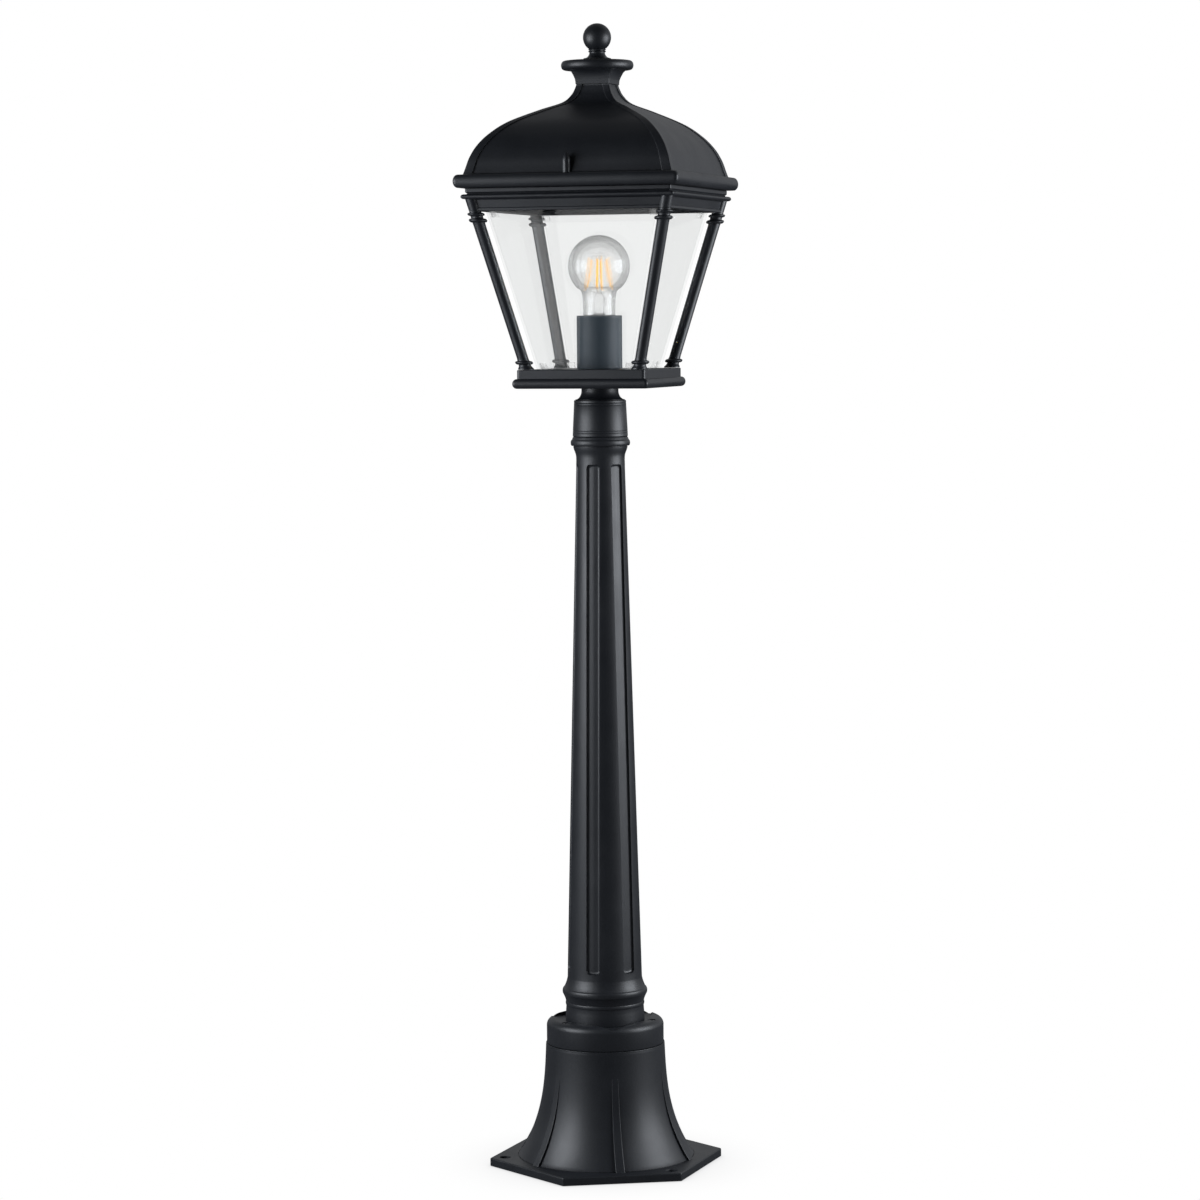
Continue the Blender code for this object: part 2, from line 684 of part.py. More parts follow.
def make_collar(paint):
    hole = TUBE_RADIUS + TUBE_CLEARANCE
    under = COLLAR_TOP - COLLAR_WALL
    collar = [
        (COLLAR_FOOT_RADIUS - COLLAR_WALL, COLLAR_FOOT),
        (COLLAR_FOOT_RADIUS - COLLAR_EDGE, COLLAR_FOOT),
        (COLLAR_FOOT_RADIUS, COLLAR_FOOT + COLLAR_EDGE),
        (COLLAR_TOP_RADIUS, COLLAR_TOP - COLLAR_EDGE),
        (COLLAR_TOP_RADIUS - COLLAR_EDGE, COLLAR_TOP),
        (hole, COLLAR_TOP),
        (hole, under),
        (COLLAR_TOP_RADIUS - COLLAR_WALL, under),
    ]
    add("post_collar", lathe(collar, 30), paint)
    flare_out = NECK_FOOT_RADIUS - NECK_TOP_RADIUS
    flare_up = NECK_FLARE_SHARE * NECK_HEIGHT
    flare = arc((NECK_FOOT_RADIUS, NECK_FOOT + flare_up), flare_out, flare_up, 270, 180, 5)
    bore = NECK_TOP_RADIUS - NECK_WALL
    neck = [(bore, NECK_FOOT), *flare, (NECK_TOP_RADIUS, NECK_TOP), (bore, NECK_TOP)]
    add("lantern_neck", lathe(neck, 24), paint)


def make_tie_tube(steel):
    foot = WEB_UNDER - TUBE_BELOW_WEB
    top = CORE_FOOT - TUBE_BELOW_CORE
    bore = [(TUBE_BORE, foot), (TUBE_RADIUS, foot), (TUBE_RADIUS, top), (TUBE_BORE, top)]
    add("tie_tube", lathe(bore, 12), steel)
    washer_hole = TUBE_RADIUS + GAP
    sleeve_floor = SLEEVE_FOOT + SLEEVE_WALL
    seats = (("lower", WEB_UNDER - GAP, -1), ("upper", sleeve_floor + GAP, 1))
    for name, level, way in seats:
        low, high = sorted((level, level + way * WASHER_HEIGHT))
        washer = [(washer_hole, low), (WASHER_RADIUS, low), (WASHER_RADIUS, high), (washer_hole, high)]
        add(f"tie_washer_{name}", lathe(washer, 18), steel)
        start = level + way * (WASHER_HEIGHT + GAP)
        low, high = sorted((start, start + way * NUT_HEIGHT))
        add(f"tie_nut_{name}", hex_nut(NUT_RADIUS, washer_hole, low, high), steel)


def make_lead(black):
    foot = WEB_UNDER - TUBE_BELOW_WEB - LEAD_BELOW_TUBE
    add("internal_lead", rod(LEAD_RADIUS, foot, CORE_FOOT - TUBE_BELOW_CORE - MM, 10), black)


def make_wiring(brass, black):
    top = WEB_UNDER - GAP
    half_length = TERMINAL_LENGTH / 2
    half_depth = TERMINAL_DEPTH / 2
    terminal = block((-half_length, -half_depth, top - TERMINAL_HEIGHT), (half_length, half_depth, top))
    bmesh.ops.rotate(terminal, verts=terminal.verts, matrix=Matrix.Rotation(BASE_YAW, 3, "Z"))
    add("terminal_block", moved(terminal, around(BASE_YAW, TERMINAL_OFFSET)), black, smooth=False)
    head = 2 * EARTH_SCREW_RADIUS
    low = top - EARTH_SCREW_RADIUS
    shank_top = WEB_UNDER + 0.6 * BELL_WEB
    earth = [
        (0, shank_top),
        (EARTH_SCREW_RADIUS, shank_top),
        (EARTH_SCREW_RADIUS, top),
        (head, top),
        (head, low),
        (0, low),
    ]
    place = around(BASE_YAW + math.radians(180), TERMINAL_OFFSET)
    add("earth_screw", moved(lathe(earth, 10), place), brass)


# ---------------------------------------------------------------- lantern


def corner_half(height):
    """Distance of a corner post's centre from the lantern's middle planes, at a height."""
    share = (height - TRAY_TOP) / LANTERN_HEIGHT
    return CORNER_FOOT_HALF + (CORNER_TOP_HALF - CORNER_FOOT_HALF) * share


def corner_ring(sides, height, radius):
    """One round section of a corner post, centred where the leaning post passes that height."""
    side_x, side_y = sides
    half = corner_half(height)
    ring = []
    for i in range(CORNER_SIDES):
        angle = math.tau * i / CORNER_SIDES
        x = side_x * half + radius * math.cos(angle)
        y = side_y * half + radius * math.sin(angle)
        ring.append((x, y, height))
    return ring


def ring_levels(middle, radius):
    """A round-edged ring on a corner post, as three levels."""
    half = CORNER_RING_HEIGHT / 2
    return [(middle - half, CORNER_RADIUS), (middle, radius), (middle + half, CORNER_RADIUS)]


def make_tray(paint):
    rim_top = TRAY_FOOT + TRAY_RIM_HEIGHT
    half_rim = TRAY_RIM_HEIGHT / 2
    round_in = TRAY_RIM_ROUND * half_rim
    edge = arc((TRAY_RIM_HALF - round_in, TRAY_FOOT + half_rim), round_in, half_rim, -90, 90, 6)
    inside = TRAY_BOX_HALF - TRAY_WALL
    ceiling = TRAY_TOP - TRAY_WALL
    profile = [
        (0, ceiling),
        (inside, ceiling),
        (inside, TRAY_FOOT),
        *edge,
        (TRAY_BOX_HALF, rim_top),
        (TRAY_BOX_HALF, TRAY_TOP - MM),
        (TRAY_BOX_HALF - MM, TRAY_TOP),
        (0, TRAY_TOP),
    ]
    tray = add("lantern_tray", square_lathe(profile), paint)
    fuse(tray, "tray_boss", rod(TRAY_BOSS_RADIUS, TRAY_FOOT, ceiling + MM, 24))
    cut(tray, "tray_hole_cutter", rod(TUBE_RADIUS + TUBE_CLEARANCE, TRAY_FOOT - MM, TRAY_TOP + MM))


def make_corner_posts(paint):
    foot = TRAY_TOP + GAP
    lower = TRAY_TOP + CORNER_RING_LEVEL
    upper = FRAME_FOOT - CORNER_RING_LEVEL + CORNER_RING_HEIGHT
    levels = [(foot, CORNER_FOOT_RADIUS), (foot + 0.4 * CORNER_FOOT_HEIGHT, 0.9 * CORNER_FOOT_RADIUS)]
    levels.append((foot + CORNER_FOOT_HEIGHT, 1.1 * CORNER_RADIUS))
    levels += ring_levels(lower, 1.04 * CORNER_RING_RADIUS)
    levels += ring_levels(upper - CORNER_RING_PITCH, 1.06 * CORNER_RING_RADIUS)
    levels += ring_levels(upper, CORNER_RING_RADIUS)
    levels.append((FRAME_FOOT - GAP, CORNER_RADIUS))
    for name, *sides in CORNERS:
        add(f"corner_post_{name}", loft([corner_ring(sides, *level) for level in levels]), paint)


def glass_outer(height):
    return corner_half(height) - GLASS_SET_BACK


def make_glass(glass):
    foot = TRAY_TOP + GAP
    top = FRAME_FOOT + GLASS_ABOVE_FRAME_FOOT
    panes = (("front", 0, 0), ("right", 90, 1), ("back", 180, 0), ("left", 270, 1))
    for name, turn, butted in panes:
        rings = []
        for height in (foot, top):
            outer = glass_outer(height)
            inner = outer - GLASS_THICKNESS
            half = inner - GAP if butted else outer
            outline = ((-half, -outer), (half, -outer), (half, -inner), (-half, -inner))
            rings.append([(x, y, height) for x, y in outline])
        pane = loft(rings)
        bmesh.ops.rotate(pane, verts=pane.verts, matrix=Matrix.Rotation(math.radians(turn), 3, "Z"))
        add(f"glass_{name}", pane, glass, smooth=False)


def make_clips(plastic):
    foot = TRAY_TOP + GAP
    ends = (("lower", foot, foot + CLIP_HEIGHT), ("upper", FRAME_FOOT - CLIP_HEIGHT, FRAME_FOOT - GAP))
    for end, low, high in ends:
        for name, side_x, side_y in CORNERS:
            rings = []
            for height in (low, high):
                out = glass_outer(height) - GLASS_THICKNESS - 2 * GAP
                inner = out - CLIP_THICKNESS
                leg = out - CLIP_LEG
                outline = ((out, out), (leg, out), (leg, inner), (inner, inner), (inner, leg), (out, leg))
                rings.append([(side_x * x, side_y * y, height) for x, y in outline])
            add(f"glass_clip_{end}_{name}", loft(rings), plastic, smooth=False)


def frame_profile():
    """The cornice: a foot band, a leaning frieze, a bead, a groove and the band that the roof sits on."""
    foot = FRAME_FOOT
    break_in = 0.6 * MM
    bead_in = FRAME_BEAD_HALF - FRAME_BEAD_RADIUS
    bead_level = foot + FRAME_BEAD_LEVEL
    bead = arc((bead_in, bead_level), FRAME_BEAD_RADIUS, FRAME_BEAD_RADIUS, -90, 90, 6)
    bead_foot = bead_level - FRAME_BEAD_RADIUS
    bead_top = bead_level + FRAME_BEAD_RADIUS
    return [
        (FRAME_INNER_HALF, foot),
        (FRAME_FOOT_HALF - break_in, foot),
        (FRAME_FOOT_HALF, foot + break_in),
        (FRAME_FOOT_HALF, foot + FRAME_FOOT_BAND),
        (FRAME_FOOT_HALF - break_in, foot + FRAME_FOOT_BAND + break_in),
        (FRAME_FOOT_HALF + FRAME_FRIEZE_LEAN, bead_foot - break_in),
        (FRAME_FOOT_HALF + 2 * FRAME_FRIEZE_LEAN, bead_foot),
        *bead,
        (FRAME_GROOVE_HALF, bead_top),
        (FRAME_GROOVE_HALF, FRAME_TOP - FRAME_TOP_BAND - break_in),
        (FRAME_TOP_HALF, FRAME_TOP - FRAME_TOP_BAND),
        (FRAME_TOP_HALF, FRAME_TOP - break_in),
        (FRAME_TOP_HALF - break_in, FRAME_TOP),
        (FRAME_INNER_HALF, FRAME_TOP),
    ]


def lug_point(side):
    return side * (FRAME_INNER_HALF - 0.55 * LUG_LENGTH), 0


def make_top_frame(paint):
    frame = add("top_frame", square_lathe(frame_profile()), paint)
    for name, *sides in CORNERS:
        stub = [corner_ring(sides, FRAME_FOOT + rise, CORNER_RADIUS) for rise in (0, FRAME_STUB_HEIGHT)]
        fuse(frame, f"stub_{name}", loft(stub))
    low = FRAME_FOOT + LUG_LEVEL
    high = low + LUG_HEIGHT
    for name, side in (("left", -1), ("right", 1)):
        ends = sorted((side * (FRAME_INNER_HALF + MM), side * (FRAME_INNER_HALF - LUG_LENGTH)))
        fuse(frame, f"lug_{name}", block((ends[0], -LUG_WIDTH / 2, low), (ends[1], LUG_WIDTH / 2, high)))
        hole = rod(BRIDGE_SCREW_RADIUS + GAP, low - MM, high + MM, 10, lug_point(side))
        cut(frame, f"lug_cutter_{name}", hole)


def make_bridge(steel):
    reach = FRAME_INNER_HALF - GAP
    half = BRIDGE_WIDTH / 2
    bar = block((-reach, -half, BRIDGE_FOOT), (reach, half, BRIDGE_TOP))
    bridge = add("roof_bridge", bar, steel, smooth=False)
    cut(bridge, "bridge_rod_cutter", rod(ROD_RADIUS + ROD_CLEARANCE, BRIDGE_FOOT - MM, BRIDGE_TOP + MM))
    seat = BRIDGE_TOP + GAP
    head_top = seat + BRIDGE_SCREW_HEAD_HEIGHT
    shank_foot = FRAME_FOOT + LUG_LEVEL
    screw = [
        (0, head_top),
        (0.8 * BRIDGE_SCREW_HEAD_RADIUS, head_top),
        (BRIDGE_SCREW_HEAD_RADIUS, seat + 0.4 * BRIDGE_SCREW_HEAD_HEIGHT),
        (BRIDGE_SCREW_HEAD_RADIUS, seat),
        (BRIDGE_SCREW_RADIUS, seat),
        (BRIDGE_SCREW_RADIUS, shank_foot),
        (0, shank_foot),
    ]
    for name, side in (("left", -1), ("right", 1)):
        hole = rod(BRIDGE_SCREW_RADIUS + GAP, BRIDGE_FOOT - MM, BRIDGE_TOP + MM, 10, lug_point(side))
        cut(bridge, f"bridge_cutter_{name}", hole)
        add(f"bridge_screw_{name}", moved(lathe(screw, 10), lug_point(side)), steel)
    lower_nut = BRIDGE_FOOT - GAP - ROD_NUT_HEIGHT
    add("roof_rod", rod(ROD_RADIUS, lower_nut - ROD_BELOW_NUT, FINIAL_FOOT + INSERT_LENGTH - MM), steel)
    for name, low in (("lower", lower_nut), ("upper", BRIDGE_TOP + GAP)):
        add(f"rod_nut_{name}", hex_nut(ROD_NUT_RADIUS, ROD_RADIUS + GAP, low, low + ROD_NUT_HEIGHT), steel)


# ---------------------------------------------------------------- roof


def dome_outline():
    """Half-side against height: steep at the eaves, a shallow slope, then a sweep up into the square neck."""
    width = DOME_FOOT_HALF - DOME_NECK_HALF
    points = [(DOME_FOOT_HALF - width * across, SLAB_TOP + DOME_HEIGHT * up) for across, up in DOME_SHARES]
    return smooth_curve(points, 2)


def dome_ring(half, height, recessed=True):
    """A square section whose four sides are recessed panels between the hip bands."""
    share = (height - SLAB_TOP) / DOME_HEIGHT
    band = HIP_BAND_FOOT + (HIP_BAND_NECK - HIP_BAND_FOOT) * share
    depth = PANEL_RECESS if recessed else 0
    step = half - band
    side = [
        (-half, -half),
        (-step, -half),
        (-step + PANEL_RECESS, -half + depth),
        (step - PANEL_RECESS, -half + depth),
        (step, -half),
    ]
    ring = [(x, y, height) for x, y in side]
    for _ in range(3):
        ring += [(-y, x, z) for x, y, z in ring[-len(side):]]
    return ring


def slab_profile():
    """The roof's square slab: a lip inside, the seal's groove underneath and a rounded edge."""
    groove_in = GASKET_HALF - GASKET_WIDTH / 2 - GAP
    groove_out = GASKET_HALF + GASKET_WIDTH / 2 + GAP
    groove_roof = ROOF_FOOT + GASKET_HEIGHT + GAP
    edge = SLAB_HEIGHT / 2
    round_in = SLAB_ROUND * edge
    return [
        (SLAB_LIP_HALF, ROOF_FOOT + SLAB_LIP_HEIGHT),
        (SLAB_LIP_HALF, ROOF_FOOT),
        (groove_in, ROOF_FOOT),
        (groove_in, groove_roof),
        (groove_out, groove_roof),
        (groove_out, ROOF_FOOT),
        *arc((SLAB_HALF - round_in, ROOF_FOOT + edge), round_in, edge, -90, 90, 6),
    ]


def make_roof(paint, rubber, parent):
    outline = dome_outline()
    inner = inset_profile(outline, DOME_WALL)
    inner[-1] = (inner[-1][0], DOME_TOP)
    inner = [point for point in inner if point[1] > SLAB_TOP - 2 * MM]
    rings = [dome_ring(half, height, False) for half, height in slab_profile()]
    rings += [dome_ring(half, height) for half, height in outline]
    rings += [dome_ring(half, height, False) for half, height in reversed(inner)]
    dome = add("roof_dome", loft(rings, closed=True), paint, parent)
    bullet = [(BOSS_RADIUS * out, SLAB_TOP + BOSS_HEIGHT * up) for out, up in BOSS_SHARES]
    boss = [(0, SLAB_TOP + BOSS_HEIGHT), *bullet, (BOSS_RADIUS, SLAB_TOP - MM), (0, SLAB_TOP - MM)]
    for name, side in (("front", -1), ("back", 1)):
        fuse(dome, f"boss_{name}", moved(lathe(boss, 12), (0, side * (DOME_FOOT_HALF - BOSS_SINK))))
    inside = GASKET_HALF - GASKET_WIDTH / 2
    outside = GASKET_HALF + GASKET_WIDTH / 2
    top = ROOF_FOOT + GASKET_HEIGHT
    seal = [(inside, ROOF_FOOT), (outside, ROOF_FOOT), (outside, top), (inside, top)]
    add("roof_gasket", square_lathe(seal), rubber, parent, smooth=False)


def morph_ring(half, height, roundness, count=24):
    """A section between a square, roundness 0, and a circle, roundness 1, of the same half-width."""
    ring = []
    for i in range(count):
        angle = math.tau * i / count
        square = 1 / max(abs(math.cos(angle)), abs(math.sin(angle)))
        radius = half * (square + (1 - square) * roundness)
        ring.append((radius * math.cos(angle), radius * math.sin(angle), height))
    return ring


def make_roof_cap(paint, rubber, parent):
    foot = ROOF_CAP_FOOT
    disc = foot + CAP_NECK_HEIGHT
    top = ROOF_CAP_TOP
    neck = DOME_NECK_HALF
    spigot = neck - DOME_WALL - 0.7 * MM
    rings = [morph_ring(spigot, foot - CAP_SPIGOT_LENGTH, 0), morph_ring(spigot, foot, 0)]
    rings += [morph_ring(neck + out, foot + rise, roundness) for rise, out, roundness in CAP_NECK_FLARE]
    rings.append(morph_ring(CAP_UNDER_SHARE * CAP_DISC_RADIUS, disc, 1))
    half = CAP_DISC_HEIGHT / 2
    round_in = CAP_DISC_ROUND * half
    centre = (CAP_DISC_RADIUS - round_in, disc + 0.9 * half)
    edge = arc(centre, round_in, 0.8 * half, -80, 85, 6)
    rings += [morph_ring(radius, height, 1) for radius, height in edge]
    rings.append(morph_ring(1.3 * FINIAL_FOOT_RADIUS, top, 1))
    cap = add("roof_cap", loft(rings), paint, parent)
    bore = ROD_RADIUS + ROD_CLEARANCE
    cut(cap, "cap_bore_cutter", rod(bore, foot - CAP_SPIGOT_LENGTH - MM, top + MM))
    rim = FINIAL_FOOT_RADIUS - MM
    low = top + GAP
    high = low + FINIAL_SEAL_HEIGHT
    add("finial_seal", lathe([(bore, low), (rim, low), (rim, high), (bore, high)], 18), rubber, parent)


def make_finial(paint, brass, rise, turn):
    bore = ROD_RADIUS + ROD_CLEARANCE
    low = FINIAL_FOOT + INSERT_LEVEL
    high = low + INSERT_LENGTH
    tube = [(bore, low), (INSERT_RADIUS, low), (INSERT_RADIUS, high), (bore, high)]
    add("finial_insert", lathe(tube, 12), brass, rise)
    neck = FINIAL_NECK_RADIUS
    neck_top = FINIAL_FOOT + FINIAL_NECK_HEIGHT
    centre = neck_top + math.sqrt(FINIAL_BALL_RADIUS**2 - neck**2) - MM
    flare_centre = (FINIAL_FOOT_RADIUS, FINIAL_FOOT + FINIAL_FLARE_TOP)
    flare = arc(flare_centre, FINIAL_FOOT_RADIUS - neck, FINIAL_FLARE_HEIGHT, 270, 180, 4)
    rings = []
    for level in FINIAL_RING_LEVELS:
        rings.append((neck + FINIAL_RING_PROUD, FINIAL_FOOT + level))
        rings.append((neck, FINIAL_FOOT + level + FINIAL_RING_PROUD))
    start = math.degrees(math.asin((neck_top - centre) / FINIAL_BALL_RADIUS))
    ball = arc((0, centre), FINIAL_BALL_RADIUS, FINIAL_BALL_RADIUS, start, 90, 9)
    pocket = INSERT_RADIUS + GAP
    inside = [(0, high + MM), (pocket, high + MM), (pocket, FINIAL_FOOT), (FINIAL_FOOT_RADIUS, FINIAL_FOOT)]
    add("finial", lathe([*inside, *flare, *rings, *ball], 20), paint, turn)


# ---------------------------------------------------------------- lampholder and lamp


def make_lampholder(paint, ceramic, brass):
    hole = TUBE_RADIUS + TUBE_CLEARANCE
    floor = SLEEVE_FOOT + SLEEVE_WALL
    bore = SLEEVE_RADIUS - SLEEVE_WALL
    top = SLEEVE_FOOT + SLEEVE_HEIGHT
    outside = SLEEVE_RADIUS
    wall = [(outside, SLEEVE_FOOT), (outside, top), (bore, top), (bore, floor)]
    add("lampholder_sleeve", lathe([(hole, SLEEVE_FOOT), *wall, (hole, floor)], 24), paint)
    core_top = CORE_FOOT + CORE_HEIGHT
    core_floor = CORE_FOOT + CORE_FLOOR
    socket = SHELL_RADIUS + GAP
    core = [
        (0, CORE_FOOT),
        (CORE_RADIUS, CORE_FOOT),
        (CORE_RADIUS, core_top),
        (socket, core_top),
        (socket, core_floor),
        (0, core_floor),
    ]
    add("lampholder_core", lathe(core, 20), ceramic)
    low = core_floor + GAP + MM
    high = core_top - MM
    lining = SHELL_RADIUS - SHELL_WALL
    shell = [(lining, low), (SHELL_RADIUS, low), (SHELL_RADIUS, high), (lining, high)]
    add("lampholder_shell", lathe(shell, 20), brass)
    add("lampholder_contact", rod(CONTACT_RADIUS, core_floor + GAP, LAMP_TIP - GAP, 12), brass)


def lamp_outline():
    """The bulb's outside, from the cap up: a straight neck that swells into a sphere."""
    neck = BULB_NECK_RADIUS
    foot = LAMP_CAP_TOP + GAP
    low = BULB_CENTRE - 0.76 * BULB_RADIUS
    points = [
        (LAMP_CAP_RADIUS - 0.4 * MM, foot),
        (neck, foot + 3 * MM),
        (neck + 0.2 * MM, (foot + low) / 2),
        (neck + 1.6 * MM, low - 0.14 * BULB_RADIUS),
        (0.69 * BULB_RADIUS, low),
    ]
    return points + arc((0, BULB_CENTRE), BULB_RADIUS, BULB_RADIUS, -34, 90, 7)


def make_lamp(glass, steel, black, rise, turn):
    tip_top = LAMP_CAP_FOOT - GAP
    tip = [(0, LAMP_TIP), (4.5 * MM, LAMP_TIP), (LAMP_CAP_RADIUS - 2 * MM, tip_top), (0, tip_top)]
    add("lamp_contact", lathe(tip, 16), black, rise)
    inside = LAMP_CAP_RADIUS - LAMP_CAP_WALL
    floor = LAMP_CAP_FOOT + 3 * MM
    cap = [
        (0, LAMP_CAP_FOOT),
        (inside - 2 * MM, LAMP_CAP_FOOT),
        (LAMP_CAP_RADIUS, LAMP_CAP_FOOT + 2 * MM),
        (LAMP_CAP_RADIUS, LAMP_CAP_TOP),
        (inside, LAMP_CAP_TOP),
        (inside, floor),
        (0, floor),
    ]
    add("lamp_cap", lathe(cap, 20), steel, turn)
    outline = lamp_outline()
    lining = [(max(radius, 0), height) for radius, height in inset_profile(outline, BULB_WALL)]
    lining[0] = (outline[0][0] - BULB_WALL, outline[0][1])
    lining[-1] = (0, outline[-1][1] - BULB_WALL)
    add("lamp_bulb", lathe(outline + lining[::-1], 18), glass, turn)
    foot = LAMP_CAP_TOP + GAP
    pinch = foot + STEM_HEIGHT
    top = FILAMENT_TOP + GAP - ARM_THICKNESS
    stem = [
        (0, foot),
        (STEM_RADIUS, foot),
        (STEM_RADIUS, pinch),
        (0.5 * STEM_RADIUS, pinch + 4 * MM),
        (STEM_ROD_RADIUS, pinch + 7 * MM),
        (STEM_ROD_RADIUS, top),
        (0, top),
    ]
    add("lamp_stem", lathe(stem, 12), glass, turn)


def make_star(name, low, reach, steel, turn):
    """Four flat arms that hold the ends of the filaments."""
    outline = []
    half = 0.6 * FILAMENT_RADIUS
    out = reach + FILAMENT_RADIUS
    for arm in range(4):
        turned = Matrix.Rotation(FILAMENT_YAW + arm * math.pi / 2, 2)
        outline += [turned @ Vector(point) for point in ((half, -half), (out, -half), (out, half))]
    rings = [[(x, y, height) for x, y in outline] for height in (low, low + ARM_THICKNESS)]
    return add(name, loft(rings), steel, turn, smooth=False)


def make_filaments(amber, steel, turn):
    make_star("lamp_wires_upper", FILAMENT_TOP + GAP, FILAMENT_TOP_CIRCLE, steel, turn)
    low = FILAMENT_FOOT - GAP - ARM_THICKNESS
    star = make_star("lamp_wires_lower", low, FILAMENT_FOOT_CIRCLE, steel, turn)
    fuse(star, "hub", prism(12, STEM_ROD_RADIUS + 2 * MM, low, low + ARM_THICKNESS))
    cut(star, "hub_cutter", rod(STEM_ROD_RADIUS + GAP, low - MM, low + ARM_THICKNESS + MM))
    ends = ((FILAMENT_FOOT, FILAMENT_FOOT_CIRCLE), (FILAMENT_TOP, FILAMENT_TOP_CIRCLE))
    for i in range(4):
        angle = FILAMENT_YAW + i * math.pi / 2
        rings = []
        for height, circle in ends:
            middle = Vector((circle * math.cos(angle), circle * math.sin(angle), height))
            spoke = Vector((FILAMENT_RADIUS, 0, 0))
            rings.append([middle + Matrix.Rotation(math.tau * k / 8, 3, "Z") @ spoke for k in range(8)])
        add(f"lamp_filament_{i + 1}", loft(rings), amber, turn)


def main():
    for old in list(bpy.data.objects):
        bpy.data.objects.remove(old)
    paint = material("black_powder_coat", (0.018, 0.02, 0.023), 0.42)
    holder_paint = material("grey_sleeve", (0.035, 0.045, 0.055), 0.5)
    steel = material("zinc_steel", (0.55, 0.56, 0.58), 0.35, 1.0)
    brass = material("brass", (0.7, 0.5, 0.2), 0.3, 1.0)
    rubber = material("black_rubber", (0.02, 0.02, 0.02), 0.8)
    plastic = material("black_plastic", (0.03, 0.03, 0.03), 0.5)
    clear = material("clear_plastic", (0.92, 0.93, 0.93), 0.1, 0.0, 1.0)
    ceramic = material("white_ceramic", (0.8, 0.79, 0.75), 0.35)
    glass = material("clear_glass", (0.93, 0.97, 0.95), 0.03, 0.0, 1.0)
    amber = material("amber_phosphor", (0.9, 0.5, 0.06), 0.5)

    make_base(paint)
    make_cap(paint, steel)
    make_post(paint)
    make_collar(paint)
    make_tie_tube(steel)
    make_wiring(brass, plastic)
    make_lead(plastic)
    make_tray(paint)
    make_corner_posts(paint)
    make_glass(glass)
    make_clips(clear)
    make_top_frame(paint)
    make_bridge(steel)
    roof_axis = pivot("roof_axis", ROOF_FOOT)
    make_roof(paint, rubber, roof_axis)
    make_roof_cap(paint, rubber, roof_axis)
    finial_rise = pivot("finial_rise_axis", FINIAL_FOOT, roof_axis)
    finial_turn = pivot("finial_turn_axis", FINIAL_FOOT, finial_rise)
    make_finial(paint, brass, finial_rise, finial_turn)
    make_lampholder(holder_paint, ceramic, brass)
    lamp_rise = pivot("lamp_rise_axis", LAMP_TIP)
    lamp_turn = pivot("lamp_turn_axis", LAMP_TIP, lamp_rise)
    make_lamp(glass, steel, plastic, lamp_rise, lamp_turn)
    make_filaments(amber, steel, lamp_turn)


main()
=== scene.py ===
# %% [markdown]
# # A pillar lantern for a garden path
#
# The real thing is a stack of aluminium castings with a black powder coat: a six-sided foot with a bell on
# it, a fluted post that tapers, a square glazed lantern, and a domed roof that lifts off for changing the
# lamp. A hidden tube clamps the stack together.
#
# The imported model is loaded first. It fixes every size and place, so each piece below is worked out from it
# and only adds what the eye wants: rounded edges, fine mouldings, bevelled glass and real finishes.

# %% Load the frame
import json
import math

import bmesh
import bpy
from mathutils import Matrix, Vector


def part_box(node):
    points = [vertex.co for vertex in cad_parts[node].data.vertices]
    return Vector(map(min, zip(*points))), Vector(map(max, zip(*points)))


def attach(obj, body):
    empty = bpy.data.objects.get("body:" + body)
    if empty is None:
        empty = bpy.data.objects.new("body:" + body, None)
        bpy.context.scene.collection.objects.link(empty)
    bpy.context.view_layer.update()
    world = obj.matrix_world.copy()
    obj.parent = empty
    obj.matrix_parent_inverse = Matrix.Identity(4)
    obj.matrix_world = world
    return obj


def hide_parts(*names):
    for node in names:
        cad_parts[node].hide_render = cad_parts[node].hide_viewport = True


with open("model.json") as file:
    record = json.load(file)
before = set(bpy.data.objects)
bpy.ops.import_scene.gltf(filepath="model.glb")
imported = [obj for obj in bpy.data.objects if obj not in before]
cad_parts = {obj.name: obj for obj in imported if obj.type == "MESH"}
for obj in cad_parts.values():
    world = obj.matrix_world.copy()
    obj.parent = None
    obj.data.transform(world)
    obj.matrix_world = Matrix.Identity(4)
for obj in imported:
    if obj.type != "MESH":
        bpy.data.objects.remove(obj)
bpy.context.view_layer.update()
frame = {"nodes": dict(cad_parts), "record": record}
MM = 0.001
CLEAR = 0.3 * MM
BASE_YAW = math.radians(25.8)

# %% [markdown]
# ## Levels from the frame
#
# Each node's box says where its piece starts and ends. Names for those levels keep the shapes readable:
# the bell starts on the plate, the post on the recess in the cap, and so on up to the finial.

# %% Levels


def foot_of(node):
    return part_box(node)[0][2]


def top_of(node):
    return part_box(node)[1][2]


def reach_of(node):
    """Half the width of a piece that stands on the lantern's axis."""
    low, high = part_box(node)
    return (high[0] - low[0]) / 2


BELL_TOP = top_of("base_casting")
CAP_FOOT = foot_of("base_cap")
CAP_TOP = top_of("base_cap")
POST_FOOT, POST_TOP = foot_of("post_shaft"), top_of("post_shaft")
COLLAR_FOOT, COLLAR_TOP = foot_of("post_collar"), top_of("post_collar")
NECK_FOOT, NECK_TOP = foot_of("lantern_neck"), top_of("lantern_neck")
TRAY_FOOT, TRAY_TOP = foot_of("lantern_tray"), top_of("lantern_tray")
FRAME_FOOT, FRAME_TOP = foot_of("top_frame"), top_of("top_frame")
ROOF_FOOT, DOME_TOP = foot_of("roof_dome"), top_of("roof_dome")
CAP_NECK_FOOT, ROOF_CAP_TOP = DOME_TOP + CLEAR, top_of("roof_cap")
FINIAL_FOOT = foot_of("finial")
print(f"bell to {BELL_TOP:.4f} m, post to {POST_TOP:.4f} m, roof from {ROOF_FOOT:.4f} m")

